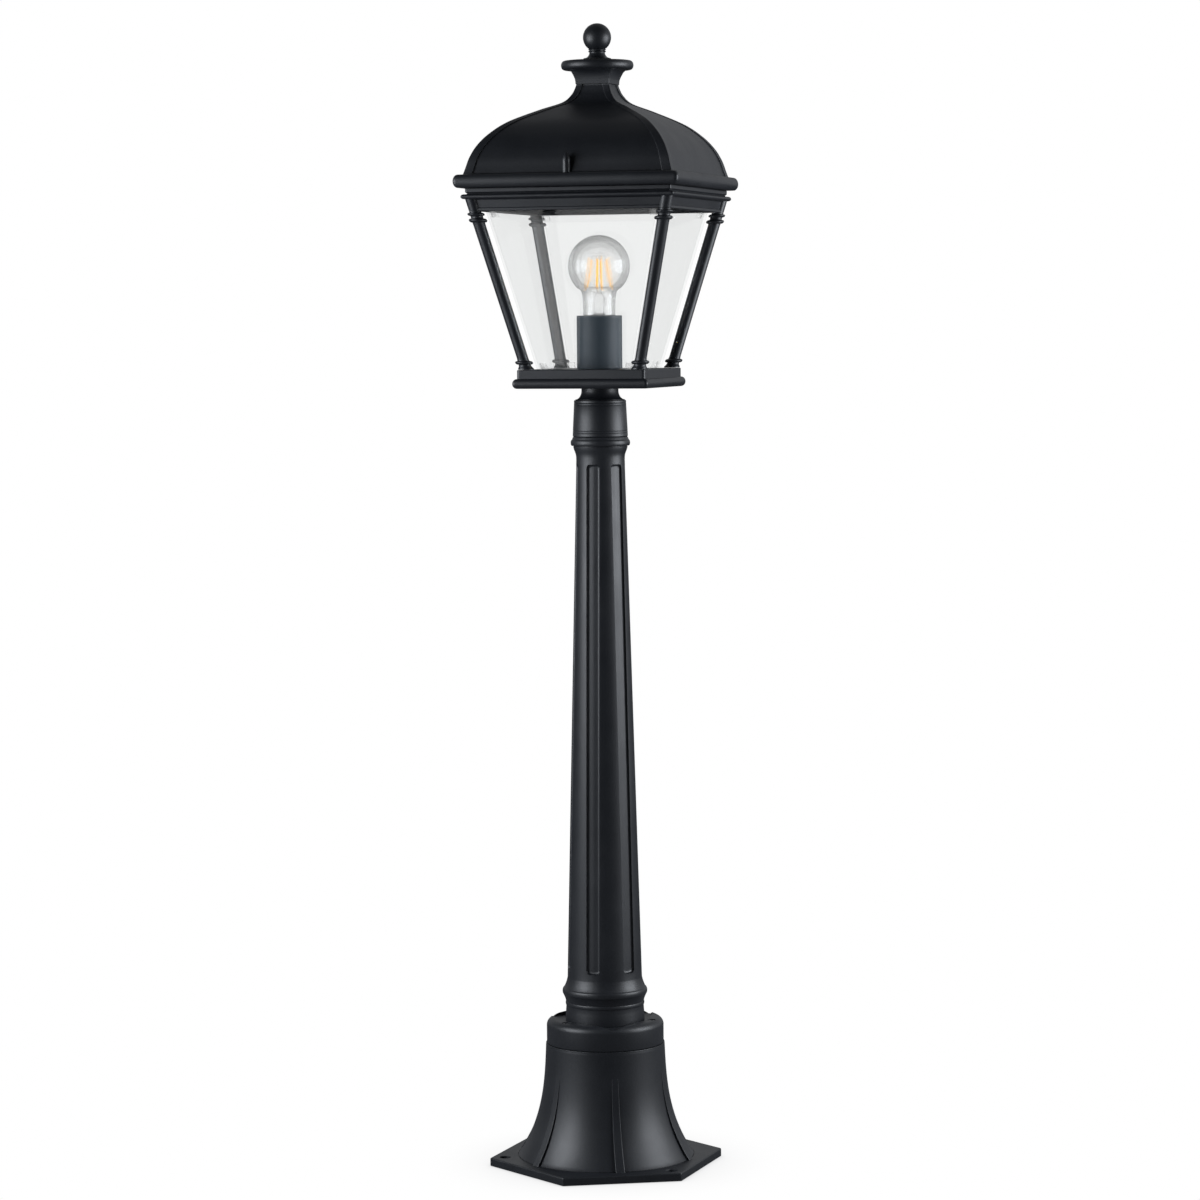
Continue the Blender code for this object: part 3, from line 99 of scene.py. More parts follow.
# %% [markdown]
# ## The camera
#
# A long lens from three and a half metres away, a little above the middle of the post, keeps the uprights
# almost parallel. The lantern is turned a little to the left of the camera, so its near edge stands right of
# the middle and both glazed sides show.

# %% Camera
CAMERA_AZIMUTH = math.radians(17.0)
CAMERA_DISTANCE = 3.621
CAMERA_HEIGHT = 0.8264
CAMERA_PITCH = math.radians(4.293)
CAMERA_LEAN = math.radians(-0.478)
CAMERA_SIDE = math.radians(0.026)
LENS_MM = 111.74
SENSOR_MM = 36

camera = bpy.data.objects.new("camera", bpy.data.cameras.new("camera"))
bpy.context.scene.collection.objects.link(camera)
camera.data.sensor_width = SENSOR_MM
camera.data.lens = LENS_MM
camera.data.clip_end = 50
camera.matrix_world = (
    Matrix.Rotation(CAMERA_AZIMUTH, 4, "Z")
    @ Matrix.Translation((0, -CAMERA_DISTANCE, CAMERA_HEIGHT))
    @ Matrix.Rotation(CAMERA_SIDE, 4, "Z")
    @ Matrix.Rotation(math.radians(90) - CAMERA_PITCH, 4, "X")
    @ Matrix.Rotation(CAMERA_LEAN, 4, "Z")
)
bpy.context.scene.camera = camera
print("camera at", tuple(round(value, 3) for value in camera.matrix_world.translation))

# %% [markdown]
# ## Making meshes from rings
#
# Nearly every casting here is an outline carried round an axis, either round or square. So one helper joins
# rings of points into a closed skin, and the shapes only differ in how their rings are drawn. Edges sharper
# than 35 degrees stay crisp and the rest are shaded smooth.

# %% Mesh helpers
MERGE_WITHIN = 0.000004
SLIVER = 0.000002
CREASE = math.radians(35)


def in_mm(points, base, way=1):
    """(radius, rise, rounding) points given in millimetres, with the rise counted up or down from a level."""
    made = []
    for radius, rise, *rounding in points:
        made.append((radius * MM, base + way * rise * MM, *(value * MM for value in rounding)))
    return made


def finished(name, shape, finish):
    """An object from a bmesh: doubles merged, faces outwards, sharp edges marked."""
    bmesh.ops.remove_doubles(shape, verts=shape.verts, dist=MERGE_WITHIN)
    bmesh.ops.dissolve_degenerate(shape, edges=shape.edges, dist=SLIVER)
    bmesh.ops.recalc_face_normals(shape, faces=shape.faces)
    mesh = bpy.data.meshes.new(name)
    shape.to_mesh(mesh)
    shape.free()
    mesh.shade_smooth()
    mesh.set_sharp_from_angle(angle=CREASE)
    mesh.materials.append(finish)
    made = bpy.data.objects.new(name, mesh)
    bpy.context.scene.collection.objects.link(made)
    return made


def ringed(rings, closed=True, shape=None):
    """Joins rings of points in turn; the last ring joins the first, or both ends are closed flat."""
    shape = shape or bmesh.new()
    loops = [[shape.verts.new(point) for point in ring] for ring in rings]
    pairs = list(zip(loops, loops[1:]))
    if closed:
        pairs.append((loops[-1], loops[0]))
    for lower, upper in pairs:
        for i, corner in enumerate(lower):
            j = (i + 1) % len(lower)
            shape.faces.new((corner, lower[j], upper[j], upper[i]))
    if not closed:
        shape.faces.new(reversed(loops[0]))
        shape.faces.new(loops[-1])
    return shape


def around(azimuth, radius):
    """The point at a radius, turned from the front, -Y, towards +X."""
    return radius * math.sin(azimuth), -radius * math.cos(azimuth)


# %% Outlines


def circle(radius, height, count=160):
    return [(*around(math.tau * i / count, radius), height) for i in range(count)]


def turned(outline, count=160, shape=None):
    """A closed outline of (radius, height) points turned about the vertical axis."""
    return ringed([circle(max(radius, 0), height, count) for radius, height in outline], True, shape)


def arc(across, up, wide, high, start, end, steps):
    """Points on an ellipse's arc, with angles in degrees from straight out."""
    points = []
    for i in range(steps + 1):
        angle = math.radians(start + (end - start) * i / steps)
        points.append((across + wide * math.cos(angle), up + high * math.sin(angle)))
    return points


def softened(outline, steps=4):
    """Rounds each corner that has a third value, its radius, with a point beside it to keep flats flat."""
    result = []
    for i, corner in enumerate(outline):
        if len(corner) < 3:
            result.append(tuple(corner))
            continue
        here = Vector(corner[:2])
        arms = []
        for other in (outline[i - 1], outline[(i + 1) % len(outline)]):
            away = Vector(other[:2]) - here
            arms.append(away.normalized() * min(corner[2], 0.4 * away.length))
        result.append(tuple(here + arms[0] * 1.2))
        for step in range(steps + 1):
            t = step / steps
            result.append(tuple(here + arms[0] * (1 - t) ** 2 + arms[1] * t**2))
        result.append(tuple(here + arms[1] * 1.2))
    return result


def bead(middle, half, inner, outer, steps):
    """A half-round bead on an upright outline, from its lower edge to its upper."""
    return arc(inner, middle, outer - inner, half, -90, 90, steps)


def square_ring(half, height, corner):
    """A square section with rounded corners, and a point beside each corner to keep the sides flat."""
    ring = []
    for turn in range(4):
        centre = half - corner
        side = [(centre - 0.3 * corner, half)]
        side += arc(centre, centre, corner, corner, 90, 0, 5)
        side += [(half, centre - 0.3 * corner)]
        quarter = Matrix.Rotation(-turn * math.pi / 2, 2)
        ring += [(*(quarter @ Vector(point)), height) for point in side]
    return ring


def squared(outline, corner):
    """A closed outline of (half-side, height) points carried round a square."""
    return ringed([square_ring(half, height, corner) for half, height in outline])


def moved(shape, by):
    bmesh.ops.translate(shape, verts=shape.verts, vec=by)
    return shape


# %% Holes


def bored(target, cutters):
    """Takes cutters out of a piece. The joined cutter is removed once the holes are part of the mesh."""
    joined = bmesh.new()
    for cutter in cutters:
        bmesh.ops.remove_doubles(cutter, verts=cutter.verts, dist=MERGE_WITHIN)
        bmesh.ops.recalc_face_normals(cutter, faces=cutter.faces)
        held = bpy.data.meshes.new("held")
        cutter.to_mesh(held)
        cutter.free()
        joined.from_mesh(held)
        bpy.data.meshes.remove(held)
    mesh = bpy.data.meshes.new("cutters")
    joined.to_mesh(mesh)
    joined.free()
    other = bpy.data.objects.new("cutters", mesh)
    bpy.context.scene.collection.objects.link(other)
    modifier = target.modifiers.new("bores", "BOOLEAN")
    modifier.object = other
    modifier.operation = "DIFFERENCE"
    modifier.solver = "EXACT"
    keep_result(target)
    bpy.data.objects.remove(other)
    target.data.set_sharp_from_angle(angle=CREASE)
    return target


def keep_result(target):
    """Turns an object's modifiers into its plain mesh."""
    graph = bpy.context.evaluated_depsgraph_get()
    mesh = bpy.data.meshes.new_from_object(target.evaluated_get(graph))
    mesh.name = target.name
    target.modifiers.clear()
    target.data = mesh


# %% Placing


def placed(piece, body, slot, *stands_for):
    """The piece rides on its body and stands for its CAD nodes. The slot is not used."""
    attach(piece, body)
    if stands_for:
        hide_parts(*stands_for)
    print(f"{piece.name}: {len(piece.data.polygons)} faces on {body}")
    return piece


# %% [markdown]
# ## Geometry Nodes for what repeats
#
# Ribs, screws, corner posts, panes, clips and filaments all repeat round the lantern's axis. One small tree
# makes them: it drops a point for each copy, turns the copy by its share of a full turn and makes the copies
# real, because copies that are only instances don't leave Blender. The tree's inputs are named, and a
# modifier sets them by their identifiers.

# %% Copies round the axis


def new_tree(name, inputs):
    tree = bpy.data.node_groups.new(name, "GeometryNodeTree")
    tree.interface.new_socket("Geometry", in_out="INPUT", socket_type="NodeSocketGeometry")
    for title, kind in inputs:
        tree.interface.new_socket(title, in_out="INPUT", socket_type="NodeSocket" + kind)
    tree.interface.new_socket("Geometry", in_out="OUTPUT", socket_type="NodeSocketGeometry")
    start = tree.nodes.new("NodeGroupInput")
    end = tree.nodes.new("NodeGroupOutput")
    return tree, start, end


def run_tree(piece, tree, values):
    """Runs a tree on a piece with its inputs set, and keeps the result as a plain mesh."""
    modifier = piece.modifiers.new(tree.name, "NODES")
    modifier.node_group = tree
    for item in tree.interface.items_tree:
        if item.item_type == "SOCKET" and item.in_out == "INPUT" and item.name in values:
            modifier[item.identifier] = values[item.name]
    keep_result(piece)
    return piece


def painted(tree, start, end, last):
    """Ends a tree: what its last node gives is made real and takes the Finish input's material."""
    real = tree.nodes.new("GeometryNodeRealizeInstances")
    paint = tree.nodes.new("GeometryNodeSetMaterial")
    tree.links.new(last.outputs[0], real.inputs[0])
    tree.links.new(real.outputs[0], paint.inputs["Geometry"])
    tree.links.new(start.outputs["Finish"], paint.inputs["Material"])
    tree.links.new(paint.outputs[0], end.inputs[0])
    return tree


def copies_tree():
    inputs = (("Count", "Int"), ("First turn", "Float"), ("Finish", "Material"))
    tree, start, end = new_tree("copies round the axis", inputs)
    points = tree.nodes.new("GeometryNodePoints")
    copies = tree.nodes.new("GeometryNodeInstanceOnPoints")
    index = tree.nodes.new("GeometryNodeInputIndex")
    share = maths(tree, "DIVIDE", math.tau, start.outputs["Count"])
    turn = maths(tree, "MULTIPLY_ADD", index.outputs[0], share, start.outputs["First turn"])
    angles = tree.nodes.new("ShaderNodeCombineXYZ")
    rotation = tree.nodes.new("FunctionNodeEulerToRotation")
    tree.links.new(turn, angles.inputs["Z"])
    tree.links.new(angles.outputs[0], rotation.inputs[0])
    tree.links.new(start.outputs["Count"], points.inputs["Count"])
    tree.links.new(points.outputs[0], copies.inputs["Points"])
    tree.links.new(start.outputs["Geometry"], copies.inputs["Instance"])
    tree.links.new(rotation.outputs[0], copies.inputs["Rotation"])
    return painted(tree, start, end, copies)


def maths(tree, operation, *values, clamp=False):
    """One Math node. A value is a number or another node's output."""
    node = tree.nodes.new("ShaderNodeMath")
    node.operation = operation
    node.use_clamp = clamp
    for i, value in enumerate(values):
        if isinstance(value, (int, float)):
            node.inputs[i].default_value = value
        else:
            tree.links.new(value, node.inputs[i])
    return node.outputs[0]


COPIES = copies_tree()


def repeated(piece, count, first=0.0):
    return run_tree(piece, COPIES, {"Count": count, "First turn": first, "Finish": piece.data.materials[0]})


# %% [markdown]
# # Finishes
#
# No finish is one flat colour. Each reads Object coordinates, which here are the lantern's own frame in
# metres, so a pattern stays fixed to its piece. A noise varies the colour and the gloss a little, and another
# raises the surface by the depth that the real finish has.

# %% Material helpers
NOISE_LOW, NOISE_HIGH = 0.3, 0.7


def new_finish(name):
    made = bpy.data.materials.new(name)
    made.use_nodes = True
    shader = made.node_tree.nodes["Principled BSDF"]
    made.node_tree.nodes.new("ShaderNodeTexCoord").name = "Where"
    return made, made.node_tree, shader


def noise(tree, scale, detail=3.0, roughness=0.55, stretch=(1, 1, 1)):
    """A noise over Object coordinates. Scale is in features to a metre."""
    mapping = tree.nodes.new("ShaderNodeMapping")
    mapping.inputs["Scale"].default_value = stretch
    texture = tree.nodes.new("ShaderNodeTexNoise")
    texture.inputs["Scale"].default_value = scale
    texture.inputs["Detail"].default_value = detail
    texture.inputs["Roughness"].default_value = roughness
    tree.links.new(tree.nodes["Where"].outputs["Object"], mapping.inputs["Vector"])
    tree.links.new(mapping.outputs[0], texture.inputs["Vector"])
    return texture.outputs["Fac"]


def spread(tree, factor, low, high):
    """Carries a noise's middle range to the range asked for."""
    node = tree.nodes.new("ShaderNodeMapRange")
    node.inputs["From Min"].default_value = NOISE_LOW
    node.inputs["From Max"].default_value = NOISE_HIGH
    node.inputs["To Min"].default_value = low
    node.inputs["To Max"].default_value = high
    tree.links.new(factor, node.inputs["Value"])
    return node.outputs[0]


def blended(tree, factor, first, second):
    node = tree.nodes.new("ShaderNodeMix")
    node.data_type = "RGBA"
    node.inputs["A"].default_value = (*first, 1)
    node.inputs["B"].default_value = (*second, 1)
    tree.links.new(factor, node.inputs["Factor"])
    return node.outputs["Result"]


def raised(tree, shader, height, depth, strength):
    node = tree.nodes.new("ShaderNodeBump")
    node.inputs["Distance"].default_value = depth
    node.inputs["Strength"].default_value = strength
    tree.links.new(height, node.inputs["Height"])
    tree.links.new(node.outputs[0], shader.inputs["Normal"])


def mixed(tree, factor, first, second, output="Material Output"):
    """Ends a tree with two shaders, mixed by a factor."""
    mix = tree.nodes.new("ShaderNodeMixShader")
    tree.links.new(factor, mix.inputs["Fac"])
    tree.links.new(first.outputs[0], mix.inputs[1])
    tree.links.new(second.outputs[0], mix.inputs[2])
    tree.links.new(mix.outputs[0], tree.nodes[output].inputs["Surface"])


def coated(name, dark, light, gloss, grain, depth, metallic=0.0, stretch=(1, 1, 1)):
    """A finish with a fine grain in its height, and a broader drift in its colour and gloss."""
    made, tree, shader = new_finish(name)
    fine = noise(tree, grain, 2.0, 0.5, stretch)
    broad = noise(tree, grain / 40, 4.0)
    shade = maths(tree, "MULTIPLY_ADD", fine, 0.7, maths(tree, "MULTIPLY", broad, 0.3))
    tree.links.new(blended(tree, spread(tree, shade, 0, 1), dark, light), shader.inputs["Base Color"])
    tree.links.new(spread(tree, broad, gloss - 0.04, gloss + 0.04), shader.inputs["Roughness"])
    shader.inputs["Metallic"].default_value = metallic
    raised(tree, shader, fine, depth, 0.5)
    return made


# %% [markdown]
# ## Powder coat
#
# Black powder is sprayed on dry and baked, and it sets with a fine pebbled skin. The pebbles are about a
# millimetre across and less than a tenth deep, so a highlight breaks up into a soft glow. The sleeve round
# the lampholder has a finer skin. Its slate grey is painted haze: the sleeve is as black as the rest, and the
# grey stands in for the pane's reflection over it.

# %% Coats
POWDER = coated("powder_coat", (0.006, 0.0072, 0.0095), (0.013, 0.0148, 0.0185), 0.44, 900, 0.09 * MM)
# The sleeve's lighter slate grey is painted haze, standing in for the front pane's reflection over a black
# coat.
SLEEVE_PAINTED_HAZE = coated("sleeve_coat", (0.033, 0.046, 0.058), (0.046, 0.06, 0.073), 0.6, 1500, 0.05 * MM)

# %% [markdown]
# ## Metals, ceramic, rubber and plastic
#
# Zinc plate and brass are metals, so their colour is in the reflection. Turned parts carry a grain that runs
# round them, which is a noise stretched flat along the axis. Glazed ceramic is nearly smooth with a few
# specks, and moulded rubber and plastic have a dull even grain.

# %% Other finishes
ZINC = coated("zinc_steel", (0.09, 0.09, 0.1), (0.17, 0.17, 0.18), 0.38, 900, 0.01 * MM, 1.0, (1, 1, 6))
NICKEL = coated("lamp_metal", (0.62, 0.62, 0.62), (0.8, 0.8, 0.81), 0.24, 900, 0.008 * MM, 1.0, (1, 1, 8))
BRASS = coated("brass", (0.55, 0.37, 0.13), (0.78, 0.56, 0.24), 0.3, 900, 0.01 * MM, 1.0, (1, 1, 6))
RUBBER = coated("rubber", (0.012, 0.012, 0.013), (0.022, 0.022, 0.023), 0.8, 700, 0.03 * MM)
PLASTIC = coated("black_plastic", (0.02, 0.02, 0.021), (0.034, 0.034, 0.035), 0.5, 1100, 0.02 * MM)
CERAMIC = coated("ceramic", (0.72, 0.70, 0.64), (0.83, 0.81, 0.76), 0.26, 260, 0.02 * MM)

# %% [markdown]
# ## Glass
#
# The panes are thick float glass with a faint green body. The lamp is thin clear glass. Both bend light a
# little less than real glass does, which keeps the room's reflection in them faint. Rays that carry light to
# what is behind pass straight through, so that what stands inside isn't left in a false dark. The panes are
# flat and thin beside the lantern, so most of what the eye sees through them also passes straight.

# %% Glass


def glass(name, tint, gloss, haze, bend, clear):
    """Tint and haze are the two shades of its body. Clear is the share of what passes straight through."""
    made, tree, shader = new_finish(name)
    shader.inputs["Transmission Weight"].default_value = 1.0
    shader.inputs["IOR"].default_value = bend
    drift = noise(tree, 18, 2.0)
    tree.links.new(blended(tree, spread(tree, drift, 0, 1), tint, haze), shader.inputs["Base Color"])
    tree.links.new(spread(tree, drift, gloss, gloss + 0.01), shader.inputs["Roughness"])
    raised(tree, shader, noise(tree, 9, 1.0), 0.05 * MM, 0.15)
    through = tree.nodes.new("ShaderNodeBsdfTransparent")
    through.inputs["Color"].default_value = (*tint, 1)
    rays = tree.nodes.new("ShaderNodeLightPath")
    share = maths(tree, "MAXIMUM", rays.outputs["Is Shadow Ray"], clear)
    mixed(tree, share, shader, through)
    return made


PANE = glass("pane_glass", (0.962, 0.965, 0.964), 0.0, (0.955, 0.96, 0.958), bend=1.2, clear=0.94)
CLEAR_PLASTIC = glass("clear_plastic", (0.97, 0.97, 0.97), 0.04, (0.955, 0.955, 0.955), bend=1.2, clear=0.75)
LAMP_GLASS = glass("lamp_glass", (0.985, 0.985, 0.985), 0.0, (0.975, 0.98, 0.98), bend=1.3, clear=0.5)

# %% [markdown]
# ## Filament
#
# A filament lamp of this kind holds sticks of tiny blue diodes under an orange-yellow phosphor. The phosphor
# is matt and a little lighter where it bulges over each diode. The lamp is off, so its faint glow is painted
# light that stands in for how bright the phosphor looks.

# %% Phosphor


def phosphor():
    made, tree, shader = new_finish("filament")
    dots = tree.nodes.new("ShaderNodeTexWave")
    dots.bands_direction = "Z"
    dots.inputs["Scale"].default_value = 160
    tree.links.new(tree.nodes["Where"].outputs["Object"], dots.inputs["Vector"])
    bulge = dots.outputs["Fac"]
    colour = blended(tree, bulge, (0.80, 0.34, 0.035), (0.92, 0.50, 0.08))
    tree.links.new(colour, shader.inputs["Base Color"])
    tree.links.new(spread(tree, bulge, 0.5, 0.62), shader.inputs["Roughness"])
    # A painted glow: the lamp is off, and the emission stands in for light on the phosphor.
    shader.inputs["Emission Color"].default_value = (0.9, 0.5, 0.07, 1)
    shader.inputs["Emission Strength"].default_value = 0.62
    raised(tree, shader, bulge, 0.2 * MM, 0.5)
    return made


PHOSPHOR_WITH_PAINTED_GLOW = phosphor()
print(len(bpy.data.materials), "finishes")

# %% [markdown]
# ## Finishes on the CAD parts that stay
#
# Bolts, washers, the clamping tube, the terminal block and the gaskets are already the right shape. Each
# keeps its CAD mesh and takes the finish of its own slot.

# %% Finishes for carried-over parts
FINISHES = {
    "powder_coat": POWDER,
    "sleeve_coat": SLEEVE_PAINTED_HAZE,
    "zinc_steel": ZINC,
    "clear_plastic": CLEAR_PLASTIC,
    "lamp_metal": NICKEL,
    "brass": BRASS,
    "rubber": RUBBER,
    "black_plastic": PLASTIC,
    "ceramic": CERAMIC,
    "pane_glass": PANE,
    "lamp_glass": LAMP_GLASS,
    "filament": PHOSPHOR_WITH_PAINTED_GLOW,
}
for part in frame["record"]["subparts"]:
    frame["nodes"][part["node"]].material_slots[0].material = FINISHES[part["material_slot"]]
print(len(frame["nodes"]), "CAD parts have a finish")

# %% [markdown]
# ## Plate and bell
#
# The foot is one casting: a six-sided plate that flows into a bell. Both are drawn as rings of points at the
# same turns round the axis, so a hexagon can join a circle with no twist. The plate's corners and edges are
# rounded as a sand casting's are, and the bell keeps the frame's own curve: a light draft and a flare that
# grows with the cube of depth. A fine groove marks where the bell meets the plate.

# %% Bell's curve
PLATE_HALF = 100 * MM
PLATE_THICK = 8 * MM
PLATE_CORNER = 2.2 * MM
BELL_FOOT_RADIUS = 86 * MM
BELL_TOP_RADIUS = 58.3 * MM
BELL_HEIGHT = BELL_TOP - PLATE_THICK
BELL_WALL = 4 * MM
BELL_WEB = 5 * MM
WEB_UNDER = BELL_TOP - BELL_WEB
TUBE_HOLE = 5.5 * MM
ANCHOR_HOLE = 5 * MM
ANCHOR_INSET = 15 * MM
SCREW_CIRCLE = 48.5 * MM


def bell_radius(height):
    """Outer radius of the bell at a height above its plate."""
    depth = 1 - height / BELL_HEIGHT
    flare = 0.16 * depth + 0.84 * depth**3
    return BELL_TOP_RADIUS + (BELL_FOOT_RADIUS - BELL_TOP_RADIUS) * flare


def hexagon_radius(off, half, corner):
    """Distance to a rounded hexagon's edge, at an angle off the middle of a side."""
    sixth = math.radians(30)
    straight_to = math.atan((half - corner) * math.tan(sixth) / half)
    if abs(off) <= straight_to:
        return half / math.cos(off)
    centre = (half - corner) / math.cos(sixth)
    away = sixth - abs(off)
    return centre * math.cos(away) + math.sqrt(corner**2 - (centre * math.sin(away)) ** 2)


# %% Plate and bell
CORNER_TURNS = [30 - 0.25 * i for i in range(1, 6)]
SIDE_TURNS = [1.5 * i for i in range(-19, 20)]
PLATE_TURNS = [-30, *(-turn for turn in CORNER_TURNS), *SIDE_TURNS, *reversed(CORNER_TURNS)]
PLATE_TURNS = [math.radians(turn) for turn in PLATE_TURNS]


def foot_ring(radius_at, height):
    """A ring round the foot. radius_at gives the radius for an angle off the middle of a side."""
    ring = []
    for side in range(6):
        middle = BASE_YAW + math.radians(60) * side
        ring += [(*around(middle + off, radius_at(off)), height) for off in PLATE_TURNS]
    return ring


def plate_ring(inset, height):
    return foot_ring(lambda off: hexagon_radius(off, PLATE_HALF - inset, PLATE_CORNER), height)


def round_ring(radius, height):
    return foot_ring(lambda off: radius, height)


def spots_of_three(first, radius):
    """Three places a third of a turn apart, the first this many degrees from the base's front."""
    return [(*around(BASE_YAW + math.radians(first + 120 * i), radius), 0) for i in range(3)]


def bell_line():
    """(radius, height) points from the plate up the bell, over its top and down its inside."""
    seam = bell_radius(0)
    web_rise = WEB_UNDER - PLATE_THICK
    hollow = web_rise - BELL_WALL
    line = softened([(seam + 2 * MM, PLATE_THICK), (seam + 0.7 * MM, PLATE_THICK, 0.2 * MM),
                     (seam + 0.5 * MM, PLATE_THICK - 0.7 * MM), (seam + 0.1 * MM, PLATE_THICK - 0.7 * MM),
                     (seam, PLATE_THICK + 0.3 * MM, 0.2 * MM)])
    line += [(bell_radius(BELL_HEIGHT * i / 60), PLATE_THICK + BELL_HEIGHT * i / 60) for i in range(1, 60)]
    line += softened([(BELL_TOP_RADIUS, BELL_TOP - 1.5 * MM), (BELL_TOP_RADIUS, BELL_TOP, 0.5 * MM),
                      (TUBE_HOLE, BELL_TOP), (TUBE_HOLE, WEB_UNDER)])
    line.append((bell_radius(web_rise) - 2 * BELL_WALL, WEB_UNDER))
    line.append((bell_radius(web_rise) - 1.3 * BELL_WALL, WEB_UNDER - 0.3 * BELL_WALL))
    for i in range(25):
        height = hollow * (1 - i / 24)
        line.append((bell_radius(height) - BELL_WALL, PLATE_THICK + height))
    return [*line, (seam - BELL_WALL, 0)]


def make_foot():
    edge = softened([(3 * MM, 0), (0, 0, 0.8 * MM), (0, PLATE_THICK, 1.4 * MM), (4 * MM, PLATE_THICK)])
    rings = [plate_ring(inset, height) for inset, height in edge]
    rings += [round_ring(radius, height) for radius, height in bell_line()]
    foot = finished("foot_casting", ringed(rings), POWDER)
    mouth = ANCHOR_HOLE + 1.2 * MM
    over = PLATE_THICK + MM
    anchor = [(0, -MM), (ANCHOR_HOLE, -MM), (ANCHOR_HOLE, PLATE_THICK - 0.8 * MM),
              (mouth, PLATE_THICK + 0.4 * MM), (mouth, over), (0, over)]
    screw = [(0, WEB_UNDER - MM), (3 * MM, WEB_UNDER - MM), (3 * MM, BELL_TOP + MM), (0, BELL_TOP + MM)]
    corner = PLATE_HALF / math.cos(math.radians(30)) - ANCHOR_INSET
    holes = [moved(turned(anchor, 40), spot) for spot in spots_of_three(30, corner)]
    holes += [moved(turned(screw, 24), spot) for spot in spots_of_three(60, SCREW_CIRCLE)]
    bored(foot, holes)
    return placed(foot, "pillar", "powder_coat", "base_casting")


make_foot()

# %% [markdown]
# ## Ribs on the bell
#
# Six slim ribs stiffen the bell. Each starts flush, three quarters of the way up, and stands three
# millimetres proud and a little wider at its foot. One rib is lofted along the bell's curve, and the copies
# tree turns it round to the middle of each side of the plate.

# %% Ribs
RIB_TOP = 86 * MM
RIB_PROUD = 3 * MM
RIB_ROOT = 1.6 * MM


def rib_section(height):
    down = 1 - height / RIB_TOP
    half = (3.25 + 1.25 * down) * MM
    skin = bell_radius(height)
    face = skin + RIB_PROUD * down + 0.02 * MM
    edge = 0.55 * MM
    root = skin - RIB_ROOT
    draft = 0.1 * MM
    outline = [(half, root), (half - draft, face, edge), (-half + draft, face, edge), (-half, root)]
    return [(across, -out, PLATE_THICK + height) for across, out in softened(outline, 3)]


rib_rings = [rib_section(RIB_TOP * i / 40 - 0.4 * MM) for i in range(41)]
rib = finished("bell_ribs", ringed(rib_rings, False), POWDER)
repeated(rib, 6, BASE_YAW)
placed(rib, "pillar", "powder_coat")

# %% [markdown]
# ## Cap on the bell
#
# A cap closes the bell. Its top has a flat round recess with three pointed lobes, and the three raised pads
# left between the lobes hold the screws. The top is drawn as heights over turns round the axis: at each turn
# a small wall climbs from the recess to the pad, and the pad runs out to the rounded shoulder. At the tip of
# each lobe the wall shrinks to nothing, and the recess runs out over the rim.

# %% Cap
CAP_RADIUS = 57.4 * MM
CAP_SHOULDER = 7 * MM
CAP_WALL = 4 * MM
RECESS_FLOOR = CAP_TOP - 3.5 * MM
RECESS_RADIUS = 43.5 * MM
LOBE_REACH = 13.5 * MM
LOBE_SPREAD = 38
PAD_EDGE = 0.55 * MM


def shoulder_height(radius):
    """Height of the cap's skin above the pads' level, out over the rounded shoulder."""
    over = max(radius - (CAP_RADIUS - CAP_SHOULDER), 0)
    return CAP_TOP - CAP_SHOULDER + math.sqrt(max(CAP_SHOULDER**2 - over**2, 0))


FLOOR_RISE = RECESS_FLOOR - CAP_TOP + CAP_SHOULDER
RIM_OF_FLOOR = CAP_RADIUS - CAP_SHOULDER + math.sqrt(CAP_SHOULDER**2 - FLOOR_RISE**2)


def cap_line(off):
    """The cap's skin from its middle to its foot, at an angle off the middle of a pad."""
    from_notch = 60 - abs(math.degrees(off))
    reach = max(1 - from_notch / LOBE_SPREAD, 0) ** 1.25
    wall = min(RECESS_RADIUS + LOBE_REACH * reach, RIM_OF_FLOOR)
    top = max(shoulder_height(wall + PAD_EDGE), RECESS_FLOOR)
    edge = min(PAD_EDGE, top - RECESS_FLOOR)
    line = [(TUBE_HOLE, RECESS_FLOOR), (wall - 1.2 * MM, RECESS_FLOOR), (wall - 0.3 * edge, RECESS_FLOOR),
            (wall, RECESS_FLOOR + 0.3 * edge), (wall, top - edge)]
    line += arc(wall + edge, top - edge, edge, edge, 180, 90, 4)[1:]
    line.append((wall + 1.4 * edge, shoulder_height(wall + 1.4 * edge) if edge > 0 else RECESS_FLOOR))
    start = line[-1][0]
    for i in range(17):
        lean = math.radians(90 - 90 * i / 16)
        radius = max(CAP_RADIUS - CAP_SHOULDER + CAP_SHOULDER * math.cos(lean), start)
        height = shoulder_height(radius)
        line.append((radius, min(height, RECESS_FLOOR) if edge <= 0 else height))
    return line


